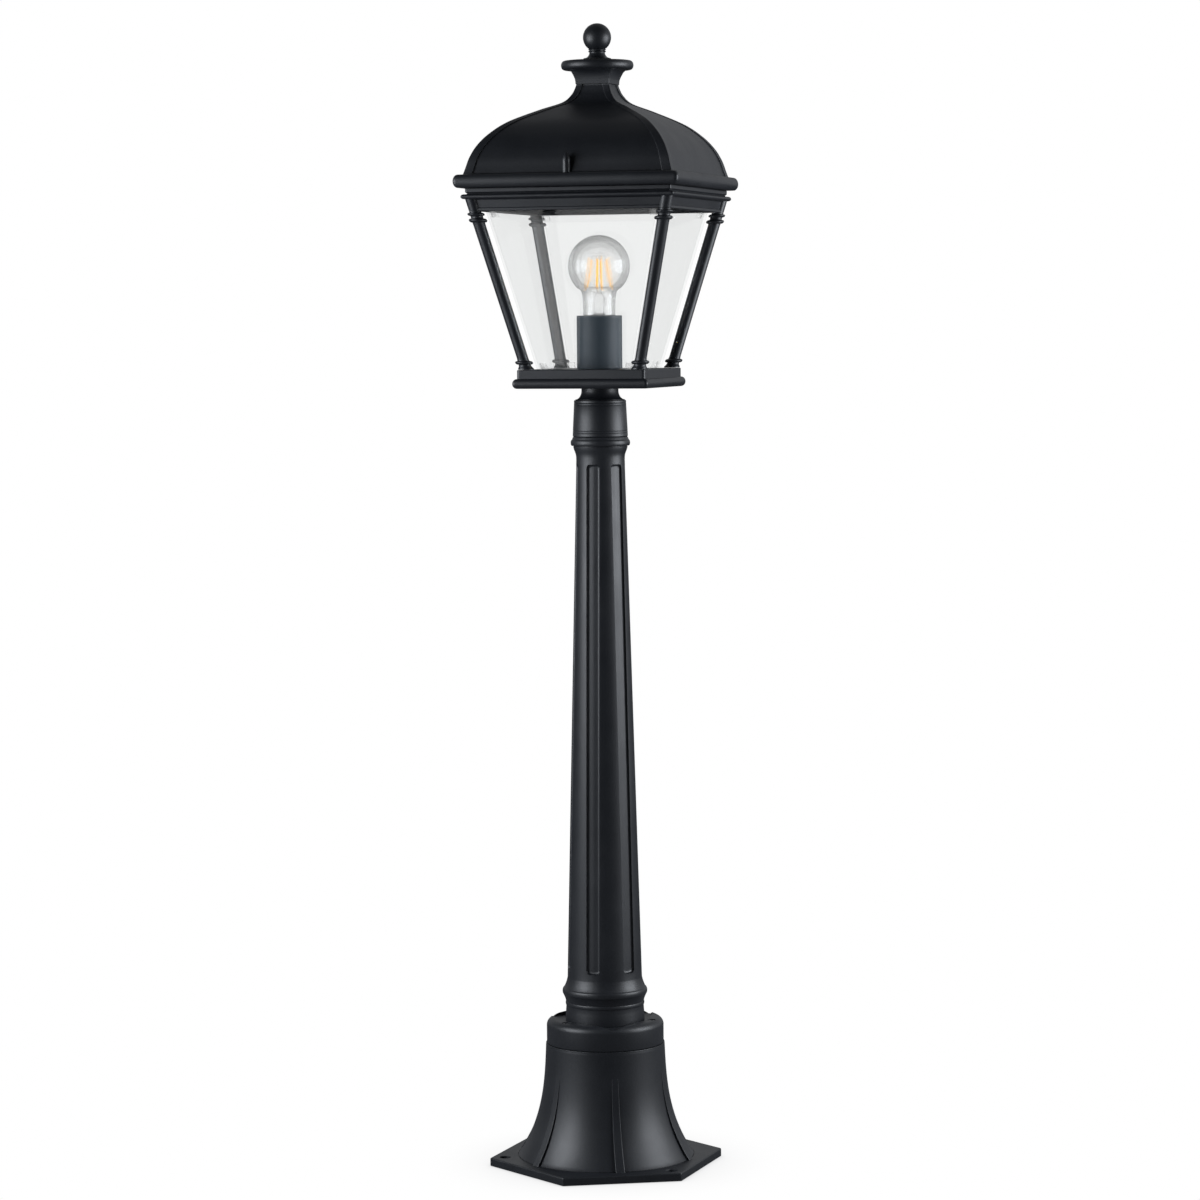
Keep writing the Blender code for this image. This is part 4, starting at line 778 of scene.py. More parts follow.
def make_cap():
    turns = {math.radians(1.25 * i - 60) for i in range(96)}
    turns |= {math.radians(way * (50.1 + 0.3 * i)) for way in (-1, 1) for i in range(33)}
    turns = sorted(turns)
    lines = [cap_line(off) for off in turns] * 3
    spots = [BASE_YAW + math.radians(60 + 120 * pad) + off for pad in range(3) for off in turns]
    inner, under = CAP_RADIUS - CAP_WALL, RECESS_FLOOR - 6 * MM
    side = [(CAP_RADIUS, CAP_TOP - CAP_SHOULDER - MM), (CAP_RADIUS, CAP_FOOT + 0.9 * MM),
            (CAP_RADIUS - 0.12 * MM, CAP_FOOT + 0.35 * MM), (CAP_RADIUS - 0.5 * MM, CAP_FOOT),
            (inner, CAP_FOOT), (inner, under), (TUBE_HOLE, under)]
    rings = [[(*around(spot, radius), height) for spot, (radius, height) in zip(spots, level)]
             for level in zip(*lines)]
    rings += [[(*around(spot, radius), height) for spot in spots] for radius, height in side]
    cap = finished("bell_cap", ringed(rings), POWDER)
    well = in_mm([(0, 1), (4.6, 1), (4.6, 0.1), (4, -0.5), (4, -5), (2.8, -5)], CAP_TOP)
    well += in_mm([(2.8, -8), (0, -8)], RECESS_FLOOR)
    bored(cap, [moved(turned(well, 40), spot) for spot in spots_of_three(60, SCREW_CIRCLE)])
    return placed(cap, "pillar", "powder_coat", "base_cap")


make_cap()

# %% [markdown]
# ## Screws in the cap
#
# Three socket screws sit down in the pads. One is turned, its six-sided socket is cut in, and the copies tree
# sets three round the cap.

# %% Screws


def make_cap_screws():
    low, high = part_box("cap_screw_1")
    top = high[2]
    head, shank = 3.65 * MM, 2.4 * MM
    under = top - 4 * MM
    outline = [(0, top), (head, top, 0.4 * MM), (head, under), (shank, under), (shank, low[2]), (0, low[2])]
    screw = finished("cap_screws", turned(softened(outline), 40), ZINC)
    bored(screw, [turned(in_mm([(0, -2.4), (1.9, -2.4), (1.9, 1), (0, 1)], top), 6)])
    screw.data.transform(Matrix.Translation((0, -SCREW_CIRCLE, 0)))
    repeated(screw, 3, BASE_YAW + math.radians(60))
    return placed(screw, "pillar", "zinc_steel", "cap_screw_1", "cap_screw_2", "cap_screw_3")


make_cap_screws()

# %% [markdown]
# ## The fluted post
#
# The post is turned first, with a ringed foot and a stepped capital, and then fluted. A Geometry Nodes tree
# does the fluting by rule, as a ball-nosed cutter would: it measures how far each point is inside a flute's
# rounded outline and sinks it along a quarter circle, down to the flute's full depth. The points round the
# post are spaced to fall on the flutes' edges at every height, so those edges stay crisp on the taper.

# %% Fluting tree
FLUTES = 6
FLUTE_WIDTH = 13.8 * MM
FLUTE_TURN = math.radians(2.5)
FLUTE_DEPTH = 2.4 * MM
FLUTE_COVE = 2.6 * MM
FLUTE_CORNER = 4.2 * MM


def fluting_tree():
    titles = ("Flutes", "First flute", "Width", "Depth", "Cove", "Corner", "Foot", "Head")
    inputs = [*((title, "Float") for title in titles), ("Finish", "Material")]
    tree, start, end = new_tree("fluting", inputs)
    size = start.outputs

    def calc(operation, *values, clamp=False):
        return maths(tree, operation, *values, clamp=clamp)

    def length(a, b):
        return calc("SQRT", calc("ADD", calc("MULTIPLY", a, a), calc("MULTIPLY", b, b)))

    place = tree.nodes.new("GeometryNodeInputPosition")
    parts = tree.nodes.new("ShaderNodeSeparateXYZ")
    tree.links.new(place.outputs[0], parts.inputs[0])
    x, y, z = parts.outputs
    radius = length(x, y)
    azimuth = calc("ARCTAN2", x, calc("MULTIPLY", y, -1.0))
    half_pitch = calc("MULTIPLY", calc("DIVIDE", math.tau, size["Flutes"]), 0.5)
    from_first = calc("SUBTRACT", azimuth, size["First flute"])
    off = calc("WRAP", from_first, half_pitch, calc("MULTIPLY", half_pitch, -1.0))
    across = calc("ABSOLUTE", calc("MULTIPLY", calc("SINE", off), radius))
    middle = calc("MULTIPLY", calc("ADD", size["Foot"], size["Head"]), 0.5)
    along = calc("ABSOLUTE", calc("SUBTRACT", z, middle))
    half_length = calc("MULTIPLY", calc("SUBTRACT", size["Head"], size["Foot"]), 0.5)
    half_width = calc("MULTIPLY", size["Width"], 0.5)
    over_x = calc("ADD", calc("SUBTRACT", across, half_width), size["Corner"])
    over_z = calc("ADD", calc("SUBTRACT", along, half_length), size["Corner"])
    outer = length(calc("MAXIMUM", over_x, 0.0), calc("MAXIMUM", over_z, 0.0))
    inner = calc("MINIMUM", calc("MAXIMUM", over_x, over_z), 0.0)
    outside = calc("SUBTRACT", calc("ADD", outer, inner), size["Corner"])
    share = calc("DIVIDE", calc("MULTIPLY", outside, -1.0), size["Cove"], clamp=True)
    rest = calc("SUBTRACT", 1.0, share)
    sweep = calc("SQRT", calc("SUBTRACT", 1.0, calc("MULTIPLY", rest, rest)))
    sink = calc("MULTIPLY", sweep, size["Depth"])
    keep = calc("DIVIDE", calc("SUBTRACT", radius, sink), radius)
    back = tree.nodes.new("ShaderNodeCombineXYZ")
    tree.links.new(calc("MULTIPLY", x, keep), back.inputs["X"])
    tree.links.new(calc("MULTIPLY", y, keep), back.inputs["Y"])
    tree.links.new(z, back.inputs["Z"])
    shift = tree.nodes.new("GeometryNodeSetPosition")
    tree.links.new(start.outputs["Geometry"], shift.inputs["Geometry"])
    tree.links.new(back.outputs[0], shift.inputs["Position"])
    return painted(tree, start, end, shift)


# %% Post
SHAFT_FOOT = POST_FOOT + 44 * MM
SHAFT_TOP = POST_TOP - 22 * MM
SHAFT_FOOT_RADIUS = 36.5 * MM
SHAFT_TOP_RADIUS = 23.6 * MM
FLUTE_FOOT = SHAFT_FOOT + 6.5 * MM
FLUTE_HEAD = SHAFT_TOP - 4.5 * MM
POST_WALL = 5 * MM
LAND_SHARES = (0.04, 0.1, 0.2, 0.35, 0.5, 0.65, 0.8, 0.9, 0.96)


def flute_stations(radius):
    """Turns round the post: close together over the flutes' coves, and even over the lands between."""
    cove = [FLUTE_COVE * (1 - math.cos(math.radians(15 * i))) for i in range(7)]
    spots = [FLUTE_WIDTH / 2 - inside for inside in cove] + [1.5 * MM, 0]
    spots = [-spot for spot in spots] + spots[-2::-1]
    half = math.asin(FLUTE_WIDTH / 2 / radius)
    land = math.tau / FLUTES - 2 * half
    turns = []
    for flute in range(FLUTES):
        middle = BASE_YAW + FLUTE_TURN + math.tau / FLUTES * (flute + 0.5)
        turns += [middle + math.asin(spot / radius) for spot in spots]
        turns += [middle + half + land * share for share in LAND_SHARES]
    return turns


def half_round(out, middle, wide, high, degrees):
    """A half-round moulding from its lower edge up, at these angles from straight down."""
    angles = [math.radians(value) for value in degrees]
    return [(out + wide * math.sin(angle), middle - high * math.cos(angle)) for angle in angles]


def shaft_line():
    """The tapered shaft, with close rows over the flutes' ends."""
    rows = [SHAFT_FOOT] + [FLUTE_FOOT + 0.25 * MM * i for i in range(29)]
    rows += [FLUTE_FOOT + 7 * MM + (FLUTE_HEAD - FLUTE_FOOT - 14 * MM) * i / 24 for i in range(1, 24)]
    rows += [FLUTE_HEAD - 7 * MM + 0.25 * MM * i for i in range(29)] + [SHAFT_TOP - 3 * MM]
    line = []
    for row in rows:
        share = (row - SHAFT_FOOT) / (SHAFT_TOP - SHAFT_FOOT)
        line.append((SHAFT_FOOT_RADIUS + (SHAFT_TOP_RADIUS - SHAFT_FOOT_RADIUS) * share, row))
    return line


def post_outline():
    """(radius, height) up the outside of the post: foot rings, the tapered shaft and the capital."""
    foot = [(33.7, 0), (38.7, 0), (38.7, 6), (38.3, 11), (38.0, 15.4), (38.1, 16.1, 0.2)]
    foot += half_round(38.1, 18.2, 0.55, 1.9, range(0, 181, 20))
    foot += [(38.3, 20.4, 0.2), (38.8, 22.3), (39.6, 24.4), (40.3, 26.0, 0.3)]
    foot += half_round(40.2, 30.0, 1.4, 3.3, range(20, 161, 14))
    foot += [(40.1, 33.6, 0.3), (39.3, 35.0), (38.6, 36.5), (37.9, 38.4), (37.3, 40.4), (36.8, 42.4)]
    foot.append((36.55, 43.6))
    head = [(23.6, 22), (23.7, 19.5), (23.9, 17.8), (24.3, 16.2), (24.9, 14.6), (25.6, 12.9), (26.1, 11.2),
            (26.4, 9.9), (26.45, 9.5, 0.1), (25.9, 9.2), (25.9, 8.9), (27.6, 8.7, 0.3)]
    for value in range(-75, 91, 15):
        angle = math.radians(value)
        head.append((27.7 + 1.2 * math.cos(angle), 5.9 - 2.9 * math.sin(angle)))
    head += [(27.5, 2.6, 0.2), (27.0, 1.2), (26.6, 0.3, 0.2), (26.2, 0)]
    return softened(in_mm(foot, POST_FOOT) + shaft_line() + in_mm(head, POST_TOP, -1), 3)


# %% Fluted post


def make_post():
    rings = []
    for radius, height in post_outline():
        turns = flute_stations(max(radius, SHAFT_TOP_RADIUS))
        rings.append([(*around(turn, radius), height) for turn in turns])
    slim, stout = SHAFT_TOP_RADIUS - POST_WALL, SHAFT_FOOT_RADIUS - POST_WALL
    for radius, height in ((slim, POST_TOP), (slim, SHAFT_TOP), (stout, SHAFT_FOOT), (stout, POST_FOOT)):
        turns = flute_stations(radius + POST_WALL)
        rings.append([(*around(turn, radius), height) for turn in turns])
    post = finished("fluted_post", ringed(rings), POWDER)
    run_tree(post, fluting_tree(), {
        "Flutes": float(FLUTES), "First flute": BASE_YAW + FLUTE_TURN + math.pi / FLUTES,
        "Width": FLUTE_WIDTH, "Depth": FLUTE_DEPTH, "Cove": FLUTE_COVE, "Corner": FLUTE_CORNER,
        "Foot": FLUTE_FOOT, "Head": FLUTE_HEAD, "Finish": POWDER,
    })
    post.data.set_sharp_from_angle(angle=CREASE)
    return placed(post, "pillar", "powder_coat", "post_shaft")


make_post()

# %% [markdown]
# ## Collar and neck
#
# The collar is a plain sleeve with two hairline grooves turned near each end and a crisp rim. Above it a
# dark, narrow neck curves in to carry the lantern's tray.

# %% Collar and neck


def make_collar():
    wall = 3.5 * MM
    foot, top = reach_of("post_collar"), 25.2 * MM
    rise = COLLAR_TOP - COLLAR_FOOT
    outline = [(foot - wall, COLLAR_FOOT), (foot - 0.1 * MM, COLLAR_FOOT, 0.5 * MM)]
    for share in (0.10, 0.16, 0.87, 0.93):
        skin = foot + (top - foot) * share
        level = COLLAR_FOOT + rise * share
        outline += [(skin, level - 0.3 * MM), (skin - 0.22 * MM, level), (skin, level + 0.3 * MM)]
    outline += [(top, COLLAR_TOP, 0.45 * MM), (TUBE_HOLE, COLLAR_TOP), (TUBE_HOLE, COLLAR_TOP - wall),
                (top - wall, COLLAR_TOP - wall)]
    collar = finished("collar", turned(softened(outline)), POWDER)
    return placed(collar, "pillar", "powder_coat", "post_collar")


def make_neck():
    bore = 14 * MM
    wide, slim = 24.2 * MM, 18 * MM
    flare = arc(wide, NECK_FOOT + 9 * MM, wide - slim, 8.6 * MM, 270, 180, 16)
    outline = [(bore, NECK_FOOT), (wide, NECK_FOOT, 0.2 * MM), *flare, (slim, NECK_TOP), (bore, NECK_TOP)]
    neck = finished("neck", turned(softened(outline)), POWDER)
    return placed(neck, "pillar", "powder_coat", "lantern_neck")


make_collar()
make_neck()

# %% [markdown]
# ## Tray
#
# The lantern's floor is a square tray: a half-round rim below and a box above it with a light, crisp top
# edge. A square outline carried round with small rounded corners makes both.

# %% Tray


def make_tray():
    rim, box, wall = reach_of("lantern_tray"), 64.1 * MM, 4 * MM
    rim_half = 4.7 * MM
    rim_round = 0.75 * rim_half
    middle = TRAY_FOOT + rim_half
    ceiling = TRAY_TOP - wall
    outline = [(TUBE_HOLE, ceiling), (box - wall, ceiling), (box - wall, TRAY_FOOT)]
    outline += arc(rim - rim_round, middle, rim_round, rim_half, -90, 90, 16)
    outline += [(box, middle + rim_half, 0.3 * MM), (box, TRAY_TOP, 0.7 * MM), (TUBE_HOLE, TRAY_TOP)]
    tray = squared(softened(outline), 2.6 * MM)
    boss = [(TUBE_HOLE, TRAY_FOOT), (21 * MM, TRAY_FOOT, 0.5 * MM), (21 * MM, ceiling + 0.5 * MM),
            (TUBE_HOLE, ceiling + 0.5 * MM)]
    turned(softened(boss), 64, tray)
    return placed(finished("tray", tray, POWDER), "pillar", "powder_coat", "lantern_tray")


make_tray()

# %% [markdown]
# ## Corner posts
#
# Four slender posts lean outwards from the tray to the frame. Each has a round section and level beads near
# its ends, as if turned, though it is cast at a slant. So its rings stay level and their centres follow the
# slope. One post is drawn and the copies tree makes the four.

# %% Corner posts
LANTERN_HEIGHT = FRAME_FOOT - TRAY_TOP
CORNER_FOOT_HALF = 56.4 * MM
CORNER_TOP_HALF = 94 * MM


def at_corners(name):
    """The names of a CAD node's four copies, one in each corner."""
    return [f"{name}_{side}" for side in ("front_left", "front_right", "back_left", "back_right")]


def corner_half(height):
    """Distance of a corner post's centre from the lantern's middle planes."""
    share = (height - TRAY_TOP) / LANTERN_HEIGHT
    return CORNER_FOOT_HALF + (CORNER_TOP_HALF - CORNER_FOOT_HALF) * share


def slanted_ring(radius, height):
    """A level ring round the slanted line of the front right corner post."""
    half = corner_half(height)
    return [(x + half, y - half, z) for x, y, z in circle(radius, height, 48)]


def make_corner_posts():
    foot, head = TRAY_TOP + CLEAR, FRAME_FOOT - CLEAR
    outline = in_mm([(7.7, 0), (7.7, 0.9), (7.3, 1.6), (6.7, 2.3), (6.2, 3.2), (5.9, 4.2)], foot)
    outline += bead(foot + 6.6 * MM, 1.8 * MM, 5.9 * MM, 8.6 * MM, 12)
    outline += in_mm([(5.7, 9.2), (5.5, 11)], foot)
    outline += in_mm([(5.9, 13), (6, 11.6)], head, -1)
    outline += bead(head - 8.7 * MM, 1.9 * MM, 6.1 * MM, 8.8 * MM, 12)
    outline += in_mm([(5.9, 6.4), (5.9, 5.2)], head, -1)
    outline += bead(head - 2.9 * MM, 1.5 * MM, 6 * MM, 8.2 * MM, 10)
    outline += in_mm([(5.9, 1), (5.9, 0)], head, -1)
    rings = [slanted_ring(radius, height) for radius, height in outline]
    posts = finished("corner_posts", ringed(rings, False), POWDER)
    repeated(posts, 4)
    return placed(posts, "pillar", "powder_coat", *at_corners("corner_post"))


make_corner_posts()

# %% [markdown]
# ## Bevelled panes
#
# Each pane is a trapezium of thick glass with a wide polished bevel round its inner face, which is what
# throws the pale line inside each edge. The bevel is a real slope: the pane is full thickness inside the
# border and thins towards its edge.

# %% Panes
PANE_SET_BACK = 7 * MM
PANE_THICK = 3.5 * MM
PANE_EDGE = 3 * MM
PANE_BORDER = 7 * MM


def pane_outer(height):
    return corner_half(height) - PANE_SET_BACK


def make_panes():
    foot, head = foot_of("glass_front"), top_of("glass_front")

    def corner(side, height, across_inset, depth):
        outer = pane_outer(height)
        return (side * (outer - PANE_THICK - CLEAR - across_inset), -outer + depth, height)

    def loop(inset, depth):
        low, high = foot + inset, head - inset
        return [corner(-1, low, inset, depth), corner(1, low, inset, depth),
                corner(1, high, inset, depth), corner(-1, high, inset, depth)]

    arris = 0.25 * MM
    loops = [loop(arris, 0), loop(0, arris), loop(0, PANE_EDGE - arris), loop(arris, PANE_EDGE),
             loop(PANE_BORDER, PANE_THICK)]
    panes = finished("panes", ringed(loops, False), PANE)
    panes.data.shade_flat()
    repeated(panes, 4)
    return placed(panes, "pillar", "pane_glass", "glass_front", "glass_right", "glass_back", "glass_left")


make_panes()

# %% [markdown]
# ## Clips that hold the panes
#
# A small clip of clear plastic stands in each corner, top and bottom, and presses two panes outwards. Its
# legs lie along the glass, and a short tongue turns in at the end of each so that the glass slides past.

# %% Clips


def make_clips(end, low, high):
    thick, leg = 0.8 * MM, 7 * MM
    rings = []
    for height in (low, high):
        out = pane_outer(height) - PANE_THICK - 0.6 * MM
        outline = [(out, -out), (out, -out + leg - 1.5 * MM, 0.6 * MM), (out - 1.4 * MM, -out + leg),
                   (out - 1.9 * MM, -out + leg - 0.5 * MM), (out - thick, -out + leg - 1.7 * MM, 0.4 * MM),
                   (out - thick, -out + thick), (out - leg + 1.7 * MM, -out + thick, 0.4 * MM),
                   (out - leg + 0.5 * MM, -out + 1.9 * MM), (out - leg, -out + 1.4 * MM),
                   (out - leg + 1.5 * MM, -out, 0.6 * MM)]
        rings.append([(x, y, height) for x, y in softened(outline, 3)])
    clips = finished(f"glass_clips_{end}", ringed(rings, False), CLEAR_PLASTIC)
    repeated(clips, 4)
    return placed(clips, "pillar", "clear_plastic", *at_corners(f"glass_clip_{end}"))


for clip_end in ("lower", "upper"):
    clip_node = f"glass_clip_{clip_end}_front_left"
    make_clips(clip_end, foot_of(clip_node), top_of(clip_node))

# %% [markdown]
# ## Cornice frame
#
# The frame on the corner posts is a run of mouldings: a fillet, a leaning frieze, a half-round bead, a groove
# and a flat band under the roof. All of it is one outline round a square, so the mitres look after
# themselves. The round of each corner post carries on up the corner as far as the bead. Two lugs inside
# carry the bridge that the roof's rod is bolted to.

# %% Cornice
FRAME_INSIDE = 90 * MM


def make_cornice():
    fillet = [(90, 0), (97.6, 0, 0.5), (97.6, 2.4, 0.4), (97.0, 3), (98.6, 10.3), (99.4, 10.9, 0.2)]
    up = in_mm(fillet, FRAME_FOOT)
    up += arc(103 * MM, FRAME_FOOT + 13.4 * MM, 2.2 * MM, 2.2 * MM, -88, 88, 14)
    up += in_mm([(100.8, 15.7, 0.2), (100.2, 16.5, 0.2), (101.7, 17.6, 0.4)], FRAME_FOOT)
    up += in_mm([(101.8, 0, 0.5), (90, 0)], FRAME_TOP)
    cornice = finished("cornice", squared(softened(up), 2 * MM), POWDER)
    return placed(cornice, "pillar", "powder_coat", "top_frame")


def make_stubs():
    rings = [slanted_ring(5.8 * MM, FRAME_FOOT + rise) for rise in (0, 4 * MM, 8 * MM, 12 * MM)]
    stubs = finished("cornice_corners", ringed(rings, False), POWDER)
    repeated(stubs, 4)
    return placed(stubs, "pillar", "powder_coat")


def make_lugs():
    root = FRAME_INSIDE + 0.5 * MM
    low = foot_of("roof_bridge") - CLEAR - 4 * MM
    high = low + 4 * MM
    length, half = 14 * MM, 13 * MM
    end = FRAME_INSIDE - length
    outline = softened([(root, half), (end, half, 3 * MM), (end, -half, 3 * MM), (root, -half)], 6)
    rings = [[(x, y, height) for x, y in outline] for height in (low, high)]
    lug = finished("bridge_lugs", ringed(rings, False), POWDER)
    hole = [(0, low - MM), (2.2 * MM, low - MM), (2.2 * MM, high + MM), (0, high + MM)]
    bored(lug, [moved(turned(hole, 24), (FRAME_INSIDE - 0.55 * length, 0, 0))])
    repeated(lug, 2)
    return placed(lug, "pillar", "powder_coat")


make_cornice()
make_stubs()
make_lugs()

# %% [markdown]
# ## Domed roof
#
# The roof starts as a bullnosed slab and rises in a four-sided dome: steep at the eaves, a shallow back, then
# a sweep up into a square neck. A narrow band runs up each hip and stands just proud of the panels
# between. The sections are squares with that step drawn into each side, so the bands narrow as they climb.

# %% Roof
SLAB_HALF = reach_of("roof_dome")
SLAB_TOP = ROOF_FOOT + 12.7 * MM
DOME_FOOT_HALF = 103 * MM
DOME_NECK_HALF = 16.7 * MM
DOME_HEIGHT = DOME_TOP - SLAB_TOP
ROOF_WALL = 3 * MM
PANEL_SUNK = 1.3 * MM


def smooth_curve(points, steps):
    """Points on a curve through the given ones, with this many steps between each two."""
    ends = [points[0], *points, points[-1]]
    curve = []
    for before, start, end, after in zip(ends, ends[1:], ends[2:], ends[3:]):
        for step in range(steps):
            t = step / steps
            weights = (
                (-t + 2 * t**2 - t**3) / 2,
                (2 - 5 * t**2 + 3 * t**3) / 2,
                (t + 4 * t**2 - 3 * t**3) / 2,
                (-(t**2) + t**3) / 2,
            )
            near = zip(before, start, end, after)
            curve.append(tuple(sum(w * value for w, value in zip(weights, axis)) for axis in near))
    return [*curve, tuple(points[-1])]


def dome_outline():
    """Half-side against height, from shares of the way in and of the way up."""
    shares = ((0, 0), (0.022, 0.07), (0.058, 0.187), (0.125, 0.319), (0.235, 0.451), (0.402, 0.582),
              (0.672, 0.713), (0.878, 0.801), (0.96, 0.888), (0.997, 0.976), (1, 1))
    width = DOME_FOOT_HALF - DOME_NECK_HALF
    points = [(DOME_FOOT_HALF - width * across, SLAB_TOP + DOME_HEIGHT * up) for across, up in shares]
    return smooth_curve(points, 8)


# %% Roof's sections


def roof_ring(half, height, sunk, corner):
    """A square section whose sides sink between the hip bands. The same count of points at every height."""
    share = min(max((height - SLAB_TOP) / DOME_HEIGHT, 0), 1)
    band = (9 - 2.8 * share) * MM
    step = 0.3 * MM
    ring = []
    for turn in range(4):
        edge = half - band
        centre = half - corner
        panel = half - sunk
        side = [(0, panel), (edge - step - 0.9 * MM, panel), (edge - step - 0.25 * MM, panel),
                (edge - step, half - sunk * 0.9), (edge - 0.12 * MM, half - 0.18 * sunk),
                (edge + 0.1 * MM, half - 0.03 * sunk), (edge + 0.5 * MM, half)]
        side += [(centre - 0.4 * corner, half)]
        side += arc(centre, centre, corner, corner, 90, 0, 5)
        side += [(half, centre - 0.4 * corner)]
        side += [(b, a) for a, b in side[6:0:-1]]
        quarter = Matrix.Rotation(-turn * math.pi / 2, 2)
        ring += [(*(quarter @ Vector(point)), height) for point in side]
    return ring


# %% Dome and slab


def make_roof():
    lip = 88 * MM
    gasket_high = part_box("roof_gasket")[1]
    seat = gasket_high[2] + CLEAR
    groove_out = gasket_high[0] + CLEAR
    groove_in = groove_out - 5 * MM
    edge = (SLAB_TOP - ROOF_FOOT) / 2
    flat = SLAB_HALF - 5 * MM
    slab = [(lip, ROOF_FOOT + 5 * MM), (lip, ROOF_FOOT), (groove_in, ROOF_FOOT), (groove_in, seat),
            (groove_out, seat), (groove_out, ROOF_FOOT), (flat, ROOF_FOOT)]
    slab += arc(SLAB_HALF - 0.62 * edge, ROOF_FOOT + edge, 0.62 * edge, edge, -80, 80, 16)
    groove = SLAB_TOP - 0.5 * MM
    slab += [(flat, SLAB_TOP), (DOME_FOOT_HALF + 0.9 * MM, SLAB_TOP),
             (DOME_FOOT_HALF + 0.5 * MM, groove), (DOME_FOOT_HALF + 0.1 * MM, groove)]
    outline = dome_outline()
    rings = [roof_ring(half, height, 0, 3.2 * MM) for half, height in slab]
    for i, (half, height) in enumerate(outline):
        rings.append(roof_ring(half, height, PANEL_SUNK * min(i / 2, 1), 0.9 * MM))
    inside = []
    for before, here, after in zip(outline, outline[1:], outline[2:]):
        along = Vector((after[0] - before[0], after[1] - before[1])).normalized()
        inside.append((here[0] - ROOF_WALL * abs(along.y), here[1] - ROOF_WALL * abs(along.x)))
    neck_inside = DOME_NECK_HALF - ROOF_WALL
    inside = [point for point in inside if point[0] > neck_inside and point[1] > SLAB_TOP]
    rings.append(roof_ring(neck_inside, DOME_TOP, 0, 0.9 * MM))
    rings += [roof_ring(half, height, 0, 0.9 * MM) for half, height in reversed(inside)]
    roof = finished("roof", ringed(rings), POWDER)
    return placed(roof, "roof", "powder_coat", "roof_dome")


make_roof()

# %% [markdown]
# ## Bosses on the eaves
#
# A small boss with a pointed head stands on the slab at the middle of the front and of the back, where a
# moulding gate was dressed off. It is turned upright, half sunk in the dome's face, and copied twice.

# %% Bosses


def make_bosses():
    radius, height = 3.95 * MM, 20 * MM
    foot = SLAB_TOP - 0.4 * MM
    line = [(0, foot), (radius, foot), (radius, SLAB_TOP + 0.5 * height)]
    for point in range(1, 15):
        climb = point / 14
        line.append((radius * (1 - climb**2.2), SLAB_TOP + height * (0.5 + 0.5 * climb)))
    bosses = finished("eaves_bosses", turned(line, 40), POWDER)
    bosses.data.transform(Matrix.Translation((0, 1.2 * MM - DOME_FOOT_HALF, 0)))
    repeated(bosses, 2)
    return placed(bosses, "roof", "powder_coat")


make_bosses()

# %% [markdown]
# ## Cap on the roof
#
# The dome's square neck carries on up into the cap and turns round on its way out to a disc. Each section is
# a blend of a square and a circle, and the blend follows the height, so four soft corners fade away as the
# neck flares.

# %% Roof cap
CAP_CORNER = 0.9 * MM
CAP_SIDES = 96


def cap_section(half, height, roundness):
    """A level ring that is a soft-cornered square at roundness 0 and a circle at 1."""
    ring = []
    for i in range(CAP_SIDES):
        angle = math.tau * (i + 0.5) / CAP_SIDES
        across, along = abs(math.cos(angle)), abs(math.sin(angle))
        square = half / max(across, along)
        blunt = (half - CAP_CORNER) * math.sqrt(2) + CAP_CORNER
        radius = min(square, blunt) * (1 - roundness) + half * roundness
        ring.append((radius * math.cos(angle), radius * math.sin(angle), height))
    return ring


def make_roof_cap():
    foot, top, low = CAP_NECK_FOOT, ROOF_CAP_TOP, foot_of("roof_cap")
    disc = reach_of("roof_cap")
    bore = 3.4 * MM
    spigot = DOME_NECK_HALF - ROOF_WALL - 0.7 * MM
    rings = [cap_section(bore, low, 1), cap_section(spigot, low, 0), cap_section(spigot, foot, 0)]
    flare = [(0, 0.4, 0), (3.7, 0.7, 0), (5.7, 1.2, 0), (7.7, 1.9, 0), (9.7, 3.1, 0.06), (11, 4.4, 0.18),
             (12.3, 6.6, 0.4), (13.2, 9.4, 0.65)]
    for rise, wide, roundness in smooth_curve(flare, 3):
        rings.append(cap_section(DOME_NECK_HALF + wide * MM, foot + rise * MM, roundness))
    half = 4.5 * MM
    middle = top - half
    rim = [(disc - 6 * MM, middle - half + 0.2 * MM)]
    rim += arc(disc - 3 * MM, middle, 3 * MM, half - 0.2 * MM, -85, 85, 14)
    rim += [(disc - 6 * MM, top - 0.05 * MM), (16 * MM, top), (bore, top)]
    rings += [cap_section(radius, height, 1) for radius, height in rim]
    return placed(finished("roof_cap_casting", ringed(rings), POWDER), "roof", "powder_coat", "roof_cap")


make_roof_cap()

# %% [markdown]
# ## Finial
#
# A ball on a flared stem screws down on the rod and holds the roof. Two thin rings are turned just below the
# ball. It has its own body, because it spins off for lamp changes.

# %% Finial


def make_finial():
    top = top_of("finial")
    foot_radius, stem, ball = 13.4 * MM, 7.5 * MM, 13.6 * MM
    centre = top - ball
    stem_top = FINIAL_FOOT + 10.4 * MM
    pocket = 5.3 * MM
    pocket_top = top_of("finial_insert") + MM
    flare = arc(foot_radius, FINIAL_FOOT + 6.3 * MM, foot_radius - stem, 5.6 * MM, 268, 182, 14)
    outline = [(0, pocket_top), (pocket, pocket_top), (pocket, FINIAL_FOOT),
               (foot_radius, FINIAL_FOOT, 0.3 * MM), *flare]
    for level in (7.2, 9.0):
        outline += bead(FINIAL_FOOT + level * MM, 0.65 * MM, stem, stem + 1.1 * MM, 6)
    start = math.degrees(math.asin((stem_top - centre) / ball))
    outline += arc(0, centre, ball, ball, start, 90, 36)
    finial = finished("finial_ball", turned(softened(outline), 128), POWDER)
    return placed(finial, "finial", "powder_coat", "finial")


make_finial()

